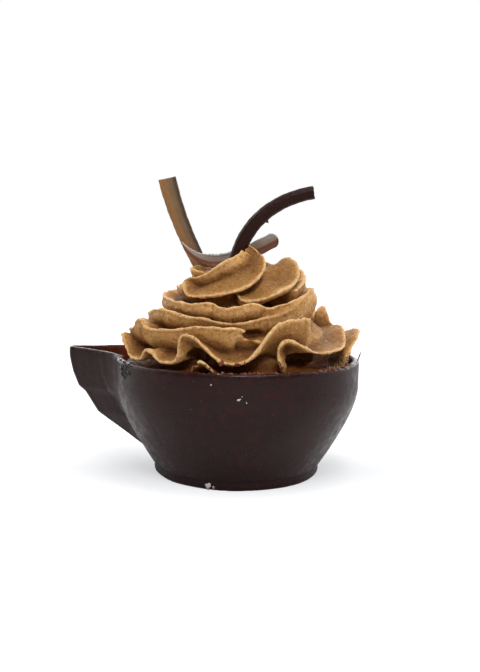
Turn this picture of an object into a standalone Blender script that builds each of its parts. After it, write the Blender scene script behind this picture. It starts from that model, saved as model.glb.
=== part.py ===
"""Chocolate mousse piped as a ruffled swirl into a moulded dark chocolate teacup.

The origin is on the table under the middle of the cup, +Z up. The cup's hollow handle points
to -X and a little to +Y. The front of the swirl, where its folds are widest, faces -Y.
Angles are in degrees round +Z from +X, so 180 is the handle's side and 270 is the front.
"""
from typing import NamedTuple

import bpy
import numpy as np

MM = 0.001

# Cup, in metres
RIM_RADIUS = 35.0 * MM
RIM_HEIGHT = 33.4 * MM
WALL = 1.9 * MM
FOOT_RADIUS = 24.0 * MM
FOOT_RING = 2.4 * MM
NECK_INSET = 0.35 * MM
SHOULDER_HEIGHT = 26.0 * MM
BELLY_HEIGHT = 18.9 * MM
FLOOR = 2.6 * MM
LIP_ROUND = 0.5 * MM
CUP_SIDES = 48
RIM_TILT = 0.012

# Handle: an open-topped fin, moulded in one with the cup
FIN_ANGLE = 165.0
FIN_REACH = 54.2 * MM
FIN_HALF_ANGLE = 20.0
FIN_TIP_HALF = 2.0 * MM
FIN_ROOT = 20.0 * MM
FIN_STEP_HEIGHT = 21.2 * MM
FIN_CORNER = (44.6 * MM, 14.2 * MM)
FIN_FOOT = (25.5 * MM, 2.3 * MM)
FIN_TOP_TILT = 0.05
FIN_FLARE = 2.6 * MM
FIN_FLARE_AT = 33.0 * MM
FIN_FLARE_RUN = 2.6 * MM

# Mousse
FILL_GAP = 0.5 * MM
FILL_LEVEL = 32.0 * MM
LIP_THICKNESS = 1.15 * MM
SWIRL_TILT = 0.10
SHEET_STEPS = 8
VOXEL = 0.5 * MM
MOUSSE_DETAIL = 0.0255
POCKET_ROWS = 10
POCKET_SIDES = 16

# Chocolate curls: control points of each middle line, foot first
CURL_GAP = 0.35 * MM
CURL_THICKNESS = 0.8 * MM
CURL_RIGHT = np.array([(-1.0, -0.5, 60.0), (0.6, -0.5, 70.0), (8.0, -1.0, 78.3),
                       (20.9, -1.5, 80.6)]) * MM
CURL_RIGHT_RADII = (2.2 * MM, 1.9 * MM)
CURL_LEFT = np.array([(-10.8, 6.5, 58.5), (-15.6, 6.5, 67.0), (-19.3, 5.5, 76.0),
                      (-21.2, 4.0, 84.6)]) * MM
CURL_LEFT_WIDTHS = (4.0 * MM, 5.1 * MM)
CURL_LEFT_DEPTH = 1.8 * MM
CURL_LOW = np.array([(-16.8, 0.5, 66.0), (-10.0, 2.5, 57.3), (-2.0, 6.0, 60.8),
                     (11.3, 5.5, 67.9)]) * MM
CURL_LOW_WIDTHS = (0.5 * MM, 4.2 * MM, 3.7 * MM)
CURL_LOW_DEPTH = 1.4 * MM
GUTTER_POINTS = 7


class Fold(NamedTuple):
    """One fold of a frill: where it stands, half its width, and how its crest moves.

    Its crest is round at power 2 and flat with steep sides at power 4.
    """
    angle: float
    width: float
    lift: float
    reach: float
    lean: float
    power: float = 2.6


class Waves(NamedTuple):
    """Even folds along a stretch of a frill, from first to last angle."""
    first: float
    last: float
    number: int
    lift: float
    reach: float
    lean: float


class Frill(NamedTuple):
    """One piped frill, in degrees and millimetres: a sheet from a root out to a crest.

    Pairs are values at its start and end. thick is what its underside adds at the root, and
    square says how its edge falls: near 0 it is a steep band, at 2 it is a thin blade. fades are
    how many degrees its free ends take to rise from its root.
    """
    start: float
    sweep: float
    radius: tuple
    height: tuple
    root_radius: tuple
    root_height: tuple
    ease: float
    tilt: float
    belly: float
    thick: float
    square: float
    folds: tuple
    waves: tuple = ()
    fades: tuple = (14, 14)


class Hollow(NamedTuple):
    """A pocket between folds: where its middle is, and its half run, half depth, half height."""
    angle: float
    radius: float
    height: float
    run: float
    depth: float
    rise: float


FRILLS = {
    "skirt": Frill(180, 360, (31.5, 31.5), (31.6, 31.6), (24, 24), (32, 32), 1, 0, 0.3, 3, 2, (
        Fold(254, 4.8, 3.8, 0.5, 1.5),
        Fold(368, 20, 9.2, 0.0, 0.0),
        Fold(369, 16, 0.0, 4.3, 0.0),
        Fold(395, 12, 5.0, 1.2, 0.0),
    ), (Waves(400, 545, 3, 4.5, 0.8, 4.0),)),
    "shell": Frill(274, 128, (30.5, 29.5), (36.6, 36.6), (21, 21), (38, 43), 1, 0, 1.2, 3, 2, (
        Fold(280, 21, -6.8, -0.8, 0.0, 6.0),
        Fold(304, 7.0, 4.4, 0.5, 12.5, 3.0),
        Fold(335, 14, 0.5, 1.0, 0.0),
        Fold(374, 24, 5.2, 1.0, 0.0),
        Fold(391, 6, 7.0, 0.0, 0.0),
    ), (), (4, 7)),
    "ruffle": Frill(186, 128, (33, 28), (34.3, 35.5), (24, 24.5), (38, 38), 2, 0, 0.8, 2.4, 2, (
        Fold(196, 8, 6.2, 1.0, 0.0),
        Fold(225, 5, 2.8, 0.0, 1.5),
        Fold(252, 8.0, 7.3, 0.0, 6.5),
        Fold(302, 22, 10.4, 0.0, 0.0, 4.0),
    ), (), (14, 2)),
    "back_ruffle": Frill(385, 175, (31.5, 32.0), (36.5, 35.5), (23, 23), (38, 37), 1, 0, 0.8, 3, 2, (
    ), (Waves(388, 555, 4, 6.2, 1.4, 7.0),)),
    "ledge": Frill(178, 118, (32.8, 25.5), (40.5, 44.0), (20, 20), (41, 42), 0.7, 0, 0.6, 6.5, 0.35, (
        Fold(206, 6, 2.6, 0.0, 0.0),
        Fold(250, 9, 0.6, 0.0, 0.0),
        Fold(289, 14, -4.2, 0.0, 0.0, 4.0),
    )),
    "back_ledge": Frill(375, 168, (26, 30), (45.5, 42.3), (19, 20), (43, 41), 1, 0, 0.6, 5, 0.5, (
    ), (Waves(385, 530, 3, 3.0, 1.2, 5.0),)),
    "rise": Frill(160, 200, (26.3, 20.8), (45.6, 45.8), (17, 15), (43, 45), 1, 0, 0.6, 4.5, 0.35, (
        Fold(213, 16, 1.6, 0.0, 0.0),
        Fold(266, 15, -1.4, 0.0, 0.0),
        Fold(350, 38, 7.5, 0.0, 0.0),
    )),
    "tier": Frill(180, 360, (21.6, 21.6), (50.8, 50.8), (12, 12), (46, 46), 1, 2.2, 0.4, 4, 0.3, (
        Fold(249, 9, 0.6, 0.0, 0.0),
        Fold(260, 6, -0.8, 0.0, 0.0),
        Fold(279, 6, 0.8, 0.0, 0.0),
        Fold(292, 5, -0.6, 0.0, 0.0),
        Fold(335, 25, 2.0, 0.0, 0.0),
        Fold(369, 22, 1.6, -0.4, 0.0),
    ), (Waves(380, 520, 3, 1.4, 0.7, 3.0),)),
    "collar": Frill(80, 130, (18.5, 17.3), (55.0, 52.8), (9, 9), (53, 51), 1, 0, 0.3, 3, 0.4, (
    )),
    "spiral": Frill(183, 152, (17, 3.2), (50.6, 67.0), (9, 1), (54.0, 65.5), 3.6, 0, 0.8, 1.2, 0.5, (
        Fold(183, 22, 5.5, -0.8, 0.0),
        Fold(315, 12, 0.0, 1.5, 0.0),
    )),
    "petal": Frill(164, 124, (15.2, 3.4), (54.8, 64.6), (7, 1), (54.5, 62.0), 1.5, 0, 0.3, 4, 0.35, (
        Fold(212, 16, -0.8, 0.0, 0.0),
        Fold(255, 16, 0.3, 0.8, 0.0),
    ), (), (14, 8)),
    "cap": Frill(260, 180, (16.0, 12), (50.5, 62.5), (5, 3), (56, 59), 1.2, 0, 1.0, 3.5, 0.4, (
        Fold(286, 16, -1.6, 0.0, 0.0),
        Fold(322, 36, 0.0, 3.8, 0.0),
        Fold(360, 28, 5.0, 0.0, 0.0),
    )),
    "flank": Frill(312, 80, (19.2, 18.6), (50.5, 60.0), (9, 9), (50, 56), 0.8, 0, 0.3, 4.5, 0.3, (
    )),
    "crown": Frill(80, 120, (13, 14), (61.0, 58.0), (5, 6), (58, 56), 1, 0, 0.3, 3, 0.4, (
    )),
}

CORE_PROFILE = (
    (26.0, 33.0), (25.6, 37.0), (24.6, 41.0), (21.5, 43.5), (18.0, 46.0),
    (12.0, 47.6), (10.5, 52.5), (8.0, 55.5), (4.0, 57.0),
)

HOLLOWS = (
    Hollow(281, 25.2, 42.0, 4.2, 3.8, 1.6),
    Hollow(318, 24.0, 43.4, 2.2, 4.5, 2.4),
    Hollow(309, 27.4, 35.0, 7.0, 5.6, 2.3),
    Hollow(249, 28.6, 36.0, 2.9, 5.2, 2.5),
)


def smoothstep(x):
    """0 below 0, 1 above 1, and a smooth S between."""
    x = np.clip(x, 0.0, 1.0)
    return x * x * (3.0 - 2.0 * x)


def mesh_object(name, points, faces):
    """A new object whose mesh has these points, in metres, and faces."""
    mesh = bpy.data.meshes.new(name)
    mesh.from_pydata([tuple(p) for p in points], [], faces)
    mesh.validate()
    mesh.update()
    obj = bpy.data.objects.new(name, mesh)
    bpy.context.scene.collection.objects.link(obj)
    return obj


def tube_faces(rows, sides, closed_rows):
    """Quads round a grid of rows x sides points, with its ends capped unless rows close up."""
    faces = []
    for i in range(rows if closed_rows else rows - 1):
        for j in range(sides):
            a = i * sides + j
            b = i * sides + (j + 1) % sides
            c = ((i + 1) % rows) * sides + (j + 1) % sides
            d = ((i + 1) % rows) * sides + j
            faces.append((a, b, c, d))
    if not closed_rows:
        faces.append(tuple(range(sides))[::-1])
        faces.append(tuple((rows - 1) * sides + j for j in range(sides)))
    return faces


def turned(profile, sides, tilts):
    """Points and faces of a turned solid, its ends closed with flat faces.

    The profile runs from bottom to top. A ring's tilt raises its back and lowers its front.
    """
    turn = np.arange(sides) * 2.0 * np.pi / sides
    points = []
    for (radius, height), tilt in zip(profile, tilts):
        ring = np.stack([radius * np.cos(turn), radius * np.sin(turn),
                         height + tilt * radius * np.sin(turn)], axis=1)
        points.append(ring)
    rows = len(profile)
    faces = []
    for i in range(rows - 1):
        for j in range(sides):
            k = (j + 1) % sides
            faces.append((i * sides + j, i * sides + k, (i + 1) * sides + k, (i + 1) * sides + j))
    faces.append(tuple(range(sides))[::-1])
    faces.append(tuple((rows - 1) * sides + j for j in range(sides)))
    return np.concatenate(points), faces


def between(pair, part):
    """The even change from the first of a pair to the second."""
    return pair[0] + (pair[1] - pair[0]) * part


def frill_lines(frill, count):
    """The crest and root of a frill as two arrays of points in millimetres.

    The crest is a helix from first to last radius and height, late or early by its ease. Each
    fold adds a bell-shaped lift and reach to it and leans it back, and waves do the same at
    even steps. The root is a plain helix, and a free end shrinks back towards it.
    """
    part = np.linspace(0.0, 1.0, count)
    angle = frill.start + frill.sweep * part
    radius = between(frill.radius, part ** frill.ease)
    height = between(frill.height, part ** frill.ease)
    sway = frill.tilt * np.sin(np.radians(angle))
    lean = np.zeros(count)
    for waves in frill.waves:
        fade = smoothstep((angle - waves.first) / 15.0) * smoothstep((waves.last - angle) / 15.0)
        phase = 2.0 * np.pi * waves.number * (angle - waves.first) / (waves.last - waves.first)
        swell = fade * (0.5 + 0.5 * np.sin(phase)) * (1.0 + 0.3 * np.sin(1.7 * phase))
        height = height + waves.lift * swell
        radius = radius + waves.reach * swell
        lean = lean + waves.lean * swell
    for fold in frill.folds:
        bell = np.exp(-np.abs((angle - fold.angle) / fold.width) ** fold.power)
        height = height + fold.lift * bell
        radius = radius + fold.reach * bell
        lean = lean + fold.lean * bell
    crest = cylindrical(radius, angle - lean, height + sway)
    root = cylindrical(between(frill.root_radius, part), angle,
                       between(frill.root_height, part) + sway)
    if frill.sweep < 360:
        ends = np.minimum(part / frill.fades[0], (1.0 - part) / frill.fades[1])
        crest = root + (crest - root) * (0.4 + 0.6 * smoothstep(frill.sweep * ends))[:, None]
    return crest, root


def cylindrical(radius, angle, height):
    """Points from radii, angles in degrees and heights."""
    turn = np.radians(angle)
    return np.stack([radius * np.cos(turn), radius * np.sin(turn), height], axis=-1)


def frill_sheet(frill, count):
    """Points in metres and faces of one frill: a closed blade, thick at its root.

    Each section is a line from root to crest whose middle sags by the frill's belly. Its upper
    side stands half a lip off it. Its lower side stands half a lip and thick times the distance
    from the crest, to the power square, off it. The lip is round.
    """
    crest, root = frill_lines(frill, count)
    closed = frill.sweep >= 360
    if closed:
        crest = crest[:-1]
        root = root[:-1]
    along = np.roll(crest, -1, axis=0) - np.roll(crest, 1, axis=0)
    if not closed:
        along[0] = crest[1] - crest[0]
        along[-1] = crest[-1] - crest[-2]
    out = crest - root
    normal = np.cross(out, along)
    normal /= np.linalg.norm(normal, axis=1)[:, None]
    direction = out / np.linalg.norm(out, axis=1)[:, None]
    inward = (1.0 - np.sin(np.linspace(0.0, 0.5 * np.pi, SHEET_STEPS)))[:, None]
    lip = 0.5 * LIP_THICKNESS / MM
    middle = crest[:, None] - out[:, None] * inward
    middle = middle - normal[:, None] * (frill.belly * 4.0 * inward * (1.0 - inward))
    upper = middle + normal[:, None] * (lip + 0.5 * inward ** 2)
    lower = middle - normal[:, None] * (lip + frill.thick * inward ** frill.square)
    turn = np.radians(np.array([50.0, 0.0, -50.0]))[:, None]
    nose = crest[:, None] + lip * (direction[:, None] * np.cos(turn)
                                   + normal[:, None] * np.sin(turn))
    section = np.concatenate([upper, nose, lower[:, ::-1]], axis=1)
    rows, sides = section.shape[:2]
    faces = tube_faces(rows, sides, closed)
    return section.reshape(-1, 3) * MM, [tuple(reversed(face)) for face in faces]


def cup_outer():
    """Outer profile of the cup above its foot ring: a curve from the neck to the shoulder.

    It is a quadratic Bezier curve that starts along the slope of the belly and ends upright.
    """
    start = np.array([FOOT_RADIUS, FOOT_RING])
    pull = np.array([RIM_RADIUS, BELLY_HEIGHT])
    end = np.array([RIM_RADIUS, SHOULDER_HEIGHT])
    t = np.linspace(0.0, 1.0, 8)[:, None]
    return (1.0 - t) ** 2 * start + 2.0 * t * (1.0 - t) * pull + t ** 2 * end


def cup_inner(inset):
    """Profile of the cup's outer curve moved inwards by inset, from floor to shoulder."""
    curve = cup_outer()
    along = np.gradient(curve, axis=0)
    along /= np.linalg.norm(along, axis=1)[:, None]
    inner = curve - inset * np.stack([along[:, 1], -along[:, 0]], axis=1)
    floor = FLOOR + inset - WALL
    wall = inner[inner[:, 1] > floor + 2.0 * MM]
    heel = np.array([[wall[0, 0] - 4.2 * MM, floor], [wall[0, 0] - 1.6 * MM, floor + 0.7 * MM]])
    return np.concatenate([heel, wall])


def build_cup_body():
    """The cup's outer form as a solid, foot ring and rim included."""
    foot = [
        (FOOT_RADIUS - 0.5 * MM, 0.0), (FOOT_RADIUS, 0.5 * MM), (FOOT_RADIUS, FOOT_RING - 0.3 * MM),
        (FOOT_RADIUS - NECK_INSET, FOOT_RING),
    ]
    curve = cup_outer()[1:]
    rim = [
        (RIM_RADIUS, RIM_HEIGHT - LIP_ROUND), (RIM_RADIUS - LIP_ROUND, RIM_HEIGHT),
    ]
    profile = foot + [tuple(p) for p in curve] + rim
    tilts = [0.0] * (len(profile) - 2) + [RIM_TILT] * 2
    return mesh_object("cup", *turned(profile, CUP_SIDES, tilts))


def build_cup_hollow():
    """Cutter for the cup's inside, open upwards."""
    profile = [tuple(p) for p in cup_inner(WALL)]
    profile += [(RIM_RADIUS - WALL, RIM_HEIGHT - LIP_ROUND), (RIM_RADIUS - WALL, RIM_HEIGHT * 1.3)]
    return mesh_object("cup_hollow", *turned(profile, CUP_SIDES, [0.0] * len(profile)))


def fin_reach(height, inset):
    """How far the fin's edge stands from the axis at each height, moved inwards by inset.

    Going down, the edge curves in to a step, runs in to a corner, and slopes to the foot.
    """
    step = FIN_STEP_HEIGHT
    outline = np.array([
        FIN_FOOT, FIN_CORNER,
        (FIN_REACH - 5.3 * MM, step - 0.9 * MM), (FIN_REACH - 3.1 * MM, step + 0.7 * MM),
        (FIN_REACH - 1.2 * MM, step + 5.0 * MM), (FIN_REACH - 0.1 * MM, step + 9.5 * MM),
        (FIN_REACH + 0.2 * MM, RIM_HEIGHT * 1.4),
    ])
    along = np.gradient(outline, axis=0)
    along /= np.linalg.norm(along, axis=1)[:, None]
    moved = outline + inset * np.stack([-along[:, 1], along[:, 0]], axis=1)
    return np.interp(height, moved[:, 1], moved[:, 0])


def fin_solid(name, inset, heights, top_tilt):
    """A stack of level wedges, the fin's outside, or its hollow when moved inwards by inset.

    Each wedge has straight sides that flare where they meet the cup, and a round tip.
    """
    tilt = np.tan(np.radians(FIN_HALF_ANGLE))
    outward = np.array([np.cos(np.radians(FIN_ANGLE)), np.sin(np.radians(FIN_ANGLE))])
    sideways = np.array([-outward[1], outward[0]])
    points = []
    for height in heights:
        reach = fin_reach(height, inset)
        tip_half = FIN_TIP_HALF - 0.7 * inset
        bend = reach - tip_half
        station = np.concatenate([[FIN_ROOT], np.maximum(bend - FIN_FLARE_AT, 0.0) * np.array(
            [0.0, 0.1, 0.22, 0.4, 1.0]) + min(FIN_FLARE_AT, bend - 0.1 * MM)])
        half = tip_half + (bend - station) * tilt
        half = half + (FIN_FLARE - inset) * np.exp(-np.maximum(station - FIN_FLARE_AT, 0.0)
                                                   / FIN_FLARE_RUN) * (half > 3.0 * tip_half)
        nose = np.radians([55.0, 20.0])
        station = np.concatenate([station, bend + tip_half * np.cos(nose)])
        half = np.concatenate([half, tip_half * np.sin(nose)])
        station = np.concatenate([station, station[::-1]])
        half = np.concatenate([half, -half[::-1]])
        ring = station[:, None] * outward + half[:, None] * sideways
        level = height + (top_tilt * ring[:, 1] if height == heights[-1] else 0.0 * ring[:, 1])
        points.append(np.column_stack([ring, level]))
    sides = len(points[0])
    faces = [tuple(reversed(f)) for f in tube_faces(len(points), sides, False)]
    return mesh_object(name, np.concatenate(points), faces)


def build_fin():
    """The fin's outside, from the foot of its edge up to the rim."""
    heights = np.concatenate([
        np.linspace(FIN_FOOT[1], FIN_CORNER[1], 5),
        [FIN_STEP_HEIGHT - 0.9 * MM, FIN_STEP_HEIGHT + 0.7 * MM, FIN_STEP_HEIGHT + 5.0 * MM,
         FIN_STEP_HEIGHT + 9.5 * MM, RIM_HEIGHT],
    ])
    return fin_solid("fin", 0.0, heights, FIN_TOP_TILT)


def build_fin_hollow():
    """Cutter for the fin's hollow, which is open at the top and into the cup."""
    heights = np.concatenate([
        np.linspace(FIN_FOOT[1] + 3.5 * MM, FIN_CORNER[1] + 1.2 * MM, 5),
        [FIN_STEP_HEIGHT, FIN_STEP_HEIGHT + 1.5 * MM, FIN_STEP_HEIGHT + 5.5 * MM,
         FIN_STEP_HEIGHT + 9.5 * MM, RIM_HEIGHT * 1.3],
    ])
    return fin_solid("fin_hollow", WALL, heights, 0.0)


def add_boolean(obj, operation, tool, solver="EXACT"):
    """Join tool to obj, or cut it away, with a live Boolean; the tool is only a guide."""
    cut = obj.modifiers.new(operation.lower(), "BOOLEAN")
    cut.operation = operation
    cut.object = tool
    cut.solver = solver
    tool.hide_render = True
    tool.display_type = "WIRE"


def build_cup():
    """Cup and handle as one moulded shell."""
    cup = build_cup_body()
    add_boolean(cup, "UNION", build_fin())
    add_boolean(cup, "DIFFERENCE", build_cup_hollow())
    add_boolean(cup, "DIFFERENCE", build_fin_hollow())
    return cup


def build_core():
    """Points and faces of the mousse under its frills: the fill in the cup and a stepped cone."""
    fill = [tuple(p) for p in cup_inner(WALL + FILL_GAP)]
    fill += [(RIM_RADIUS - WALL - FILL_GAP, FILL_LEVEL - 1.0 * MM),
             (RIM_RADIUS - WALL - FILL_GAP - 1.0 * MM, FILL_LEVEL)]
    cone = [(radius * MM, height * MM) for radius, height in CORE_PROFILE]
    tilts = [0.0] * len(fill) + [SWIRL_TILT] * len(cone)
    return turned(fill + cone, CUP_SIDES, tilts)


def add_remesh(obj):
    """Rebuild obj's skin from even cells, which joins pieces that overlap."""
    remesh = obj.modifiers.new("grow_together", "REMESH")
    remesh.mode = "VOXEL"
    remesh.voxel_size = VOXEL


def build_mousse(cutters):
    """Core and frills grown together into one body, with room for the curls' feet."""
    points, faces = build_core()
    points = [points]
    faces = list(faces)
    offset = len(points[0])
    for frill in FRILLS.values():
        more, quads = frill_sheet(frill, max(12, int(frill.sweep / 2.0)))
        points.append(more)
        faces += [tuple(i + offset for i in face) for face in quads]
        offset += len(more)
    mousse = mesh_object("mousse", np.concatenate(points), faces)
    add_remesh(mousse)
    for hollow in HOLLOWS:
        add_boolean(mousse, "DIFFERENCE", pocket(hollow), "MANIFOLD")
    add_remesh(mousse)
    soften = mousse.modifiers.new("soften", "SMOOTH")
    soften.factor = 0.5
    soften.iterations = 3
    reduce = mousse.modifiers.new("reduce", "DECIMATE")
    reduce.ratio = MOUSSE_DETAIL
    for cutter in cutters:
        add_boolean(mousse, "DIFFERENCE", cutter)
    return mousse


def pocket(hollow):
    """Cutter for a hollow: a closed ellipsoid."""
    polar = np.linspace(0.0, np.pi, POCKET_ROWS + 1)[1:-1, None]
    turn = np.arange(POCKET_SIDES) * 2.0 * np.pi / POCKET_SIDES
    outward = cylindrical(1.0, hollow.angle, 0.0)
    sideways = cylindrical(1.0, hollow.angle + 90.0, 0.0)
    upward = np.array([0.0, 0.0, 1.0])
    ball = (cylindrical(hollow.radius, hollow.angle, hollow.height)
            + (hollow.depth * np.sin(polar) * np.cos(turn))[..., None] * outward
            + (hollow.run * np.sin(polar) * np.sin(turn))[..., None] * sideways
            + (hollow.rise * np.cos(polar) + 0.0 * turn)[..., None] * upward)
    faces = [tuple(reversed(face)) for face in tube_faces(*ball.shape[:2], False)]
    return mesh_object("pocket", ball.reshape(-1, 3) * MM, faces)


def bezier(controls, count):
    """Points along a cubic Bezier curve with four control points."""
    t = np.linspace(0.0, 1.0, count)[:, None]
    a, b, c, d = (np.array(p) for p in controls)
    return (1 - t) ** 3 * a + 3 * t * (1 - t) ** 2 * b + 3 * t ** 2 * (1 - t) * c + t ** 3 * d


def lengthened(path, grow):
    """A path whose first point is moved back along its own direction by grow."""
    step = path[1] - path[0]
    path[0] -= step * grow / np.linalg.norm(step)
    return path


def swept(name, path, sections, across):
    """A solid whose sections, 2-D arrays in metres, stand square to a path.

    The first axis of a section points along across, made square to the path.
    """
    along = np.gradient(path, axis=0)
    along /= np.linalg.norm(along, axis=1)[:, None]
    first = across - (along @ across)[:, None] * along
    first /= np.linalg.norm(first, axis=1)[:, None]
    second = np.cross(along, first)
    points = (path[:, None] + first[:, None] * sections[:, :, :1]
              + second[:, None] * sections[:, :, 1:])
    faces = tube_faces(len(path), sections.shape[1], False)
    return mesh_object(name, points.reshape(-1, 3), faces)


def gutter_section(width, depth, thickness, grow):
    """A curved strip in section: an arc of this width, depth and thickness, grown all round."""
    reach = np.linspace(-1.0, 1.0, GUTTER_POINTS)
    turn = 0.5 * np.pi * reach
    edge = np.where(np.abs(reach) == 1.0, grow, 0.0)
    half = 0.5 * width
    outer = np.stack([(half + grow) * np.sin(turn), (depth + grow) * np.cos(turn) - edge], axis=1)
    inner = np.stack([(half - thickness - grow) * np.sin(turn),
                      (depth - thickness - grow) * np.cos(turn) - edge], axis=1)
    return np.concatenate([outer[::-1], inner])


def round_section(radius, sides):
    """A circle in section."""
    turn = np.arange(sides) * 2.0 * np.pi / sides
    return np.stack([radius * np.cos(turn), radius * np.sin(turn)], axis=1)


def build_curls(grow):
    """The three pieces of chocolate on top; grow adds to their thickness, for the cutters."""
    suffix = "_socket" if grow else ""
    right_path = lengthened(bezier(CURL_RIGHT, 15), grow)
    right = np.array([round_section(r + grow, 10)
                      for r in np.linspace(CURL_RIGHT_RADII[0], CURL_RIGHT_RADII[1], 15)])
    left_path = lengthened(bezier(CURL_LEFT, 10), grow)
    left = np.array([gutter_section(w, CURL_LEFT_DEPTH, CURL_THICKNESS, grow)
                     for w in np.linspace(CURL_LEFT_WIDTHS[0], CURL_LEFT_WIDTHS[1], 10)])
    low_path = lengthened(bezier(CURL_LOW, 14), grow)
    low_width = np.interp(np.linspace(0.0, 1.0, 14), (0.0, 0.35, 1.0), CURL_LOW_WIDTHS)
    low = np.array([gutter_section(w, CURL_LOW_DEPTH * w / max(CURL_LOW_WIDTHS),
                                   min(CURL_THICKNESS, 0.4 * w), grow)
                    for w in low_width])
    side = np.array([1.0, 0.0, 0.0])
    up = np.array([0.0, 0.0, 1.0])
    return [
        swept("curl_right" + suffix, right_path, right, np.array([0.0, 1.0, 0.0])),
        swept("curl_left" + suffix, left_path, left, side),
        swept("curl_low" + suffix, low_path, low, up),
    ]


def principled(name, colour, roughness):
    """A plain dielectric material."""
    material = bpy.data.materials.new(name)
    material.use_nodes = True
    shader = material.node_tree.nodes["Principled BSDF"]
    shader.inputs["Base Color"].default_value = (*colour, 1.0)
    shader.inputs["Roughness"].default_value = roughness
    shader.inputs["Metallic"].default_value = 0.0
    return material


def main():
    """Clear the scene and model every piece."""
    for obj in list(bpy.data.objects):
        bpy.data.objects.remove(obj, do_unlink=True)
    finish = {
        "cup": principled("dark_chocolate_shell", (0.022, 0.013, 0.012), 0.38),
        "mousse": principled("chocolate_mousse", (0.42, 0.23, 0.10), 0.6),
        "curl_right": principled("dark_chocolate_curl", (0.02, 0.008, 0.006), 0.4),
        "curl_left": principled("milk_chocolate_curl", (0.16, 0.08, 0.035), 0.45),
        "curl_low": principled("grey_brown_curl", (0.12, 0.08, 0.06), 0.4),
    }
    pieces = [build_cup(), build_mousse(build_curls(CURL_GAP))] + build_curls(0.0)
    for piece in pieces:
        piece.data.materials.append(finish[piece.name])
        piece.data.shade_smooth()


main()
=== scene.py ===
"""Chocolate mousse piped into a moulded dark chocolate teacup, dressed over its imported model.

The file is laid out as an add-on and run as a script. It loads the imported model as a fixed
frame, and its operators build the cup, the mousse, the curls, the crumbs and the studio. All
lengths are in metres in the frame's own axes: +Z up, the front of the swirl to -Y, and the
handle to -X. Angles are in degrees round +Z from +X.
"""

from typing import NamedTuple

import bpy
import numpy as np
from mathutils import Matrix, Vector


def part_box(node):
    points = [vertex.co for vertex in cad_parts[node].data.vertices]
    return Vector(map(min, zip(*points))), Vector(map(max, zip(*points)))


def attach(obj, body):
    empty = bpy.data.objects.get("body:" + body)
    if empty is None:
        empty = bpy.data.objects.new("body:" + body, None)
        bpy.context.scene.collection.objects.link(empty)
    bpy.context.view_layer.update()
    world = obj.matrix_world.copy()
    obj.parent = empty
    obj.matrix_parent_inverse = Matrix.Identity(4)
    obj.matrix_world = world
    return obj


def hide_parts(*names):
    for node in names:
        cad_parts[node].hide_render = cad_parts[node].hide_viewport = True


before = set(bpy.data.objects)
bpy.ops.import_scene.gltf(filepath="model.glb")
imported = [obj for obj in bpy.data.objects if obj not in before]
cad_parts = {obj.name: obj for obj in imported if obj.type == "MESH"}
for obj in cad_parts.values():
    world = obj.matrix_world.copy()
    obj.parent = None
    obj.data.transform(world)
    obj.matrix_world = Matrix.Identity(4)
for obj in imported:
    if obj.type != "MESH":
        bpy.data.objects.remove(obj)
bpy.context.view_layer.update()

bl_info = {
    "name": "Chocolate Mousse Teacup",
    "version": (1, 0, 0),
    "blender": (4, 5, 0),
    "location": "3D View > Sidebar > Mousse",
    "description": "Builds a piped chocolate mousse in a chocolate teacup, with curls and crumbs",
    "category": "Add Mesh",
}

MM = 0.001
BODY = "root"


def linear(hex_colour):
    """Linear RGB from an sRGB hex value: c / 12.92 when small, else ((c + 0.055) / 1.055) ** 2.4."""
    parts = [int(hex_colour[i:i + 2], 16) / 255.0 for i in (1, 3, 5)]
    return tuple(c / 12.92 if c <= 0.04045 else ((c + 0.055) / 1.055) ** 2.4 for c in parts)


def length(name, description, default, low=0.0):
    """A property in metres."""
    return bpy.props.FloatProperty(name=name, description=description, default=default, min=low,
                                   unit="LENGTH", subtype="DISTANCE", precision=5)


def colour(name, description, hex_colour):
    """A colour property whose default is an sRGB hex value."""
    return bpy.props.FloatVectorProperty(name=name, description=description, size=3, min=0.0,
                                         max=1.0, subtype="COLOR", default=linear(hex_colour))


class CupSizes(bpy.types.PropertyGroup):
    """Sizes of the moulded cup. Its rim's radius comes from the frame's box."""
    wall: length("Wall", "Thickness of the moulded shell", 1.9 * MM)
    foot_radius: length("Foot radius", "Radius of the flat foot", 24.0 * MM)
    foot_ring: length("Foot ring", "Height of the ring under the belly", 2.4 * MM)
    neck_inset: length("Neck inset", "Step from the foot ring in to the belly", 0.35 * MM)
    grain: length("Grain", "Edge of the cells that the shell is rebuilt from", 0.36 * MM, 0.2 * MM)


class MousseSizes(bpy.types.PropertyGroup):
    """Sizes of the piped mousse."""
    lip: length("Lip", "Thickness of a frill at its edge", 0.95 * MM)
    grain: length("Grain", "Edge of the cells that the frills grow together in", 0.3 * MM, 0.2 * MM)
    unevenness: length("Unevenness", "How far the faces roll in and out", 0.09 * MM)
    pores: bpy.props.IntProperty(name="Pores", description="Open bubbles on the faces",
                                 default=230, min=0)
    triangles: bpy.props.IntProperty(name="Triangles", description="Most triangles in the mousse",
                                     default=190000, min=20000)


class CurlSizes(bpy.types.PropertyGroup):
    """Sizes of the chocolate curls."""
    sheet: length("Sheet", "Thickness of the shaved chocolate", 0.7 * MM)
    tube_radius: length("Tube radius", "Radius of the rolled curl at its foot", 2.2 * MM)
    tube_end_radius: length("Tube end radius", "Radius of the rolled curl at its end", 1.9 * MM)
    strip_width: length("Strip width", "Width of the upright strip at its top", 5.9 * MM)
    low_width: length("Low strip width", "Widest part of the lying strip", 4.2 * MM)


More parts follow.
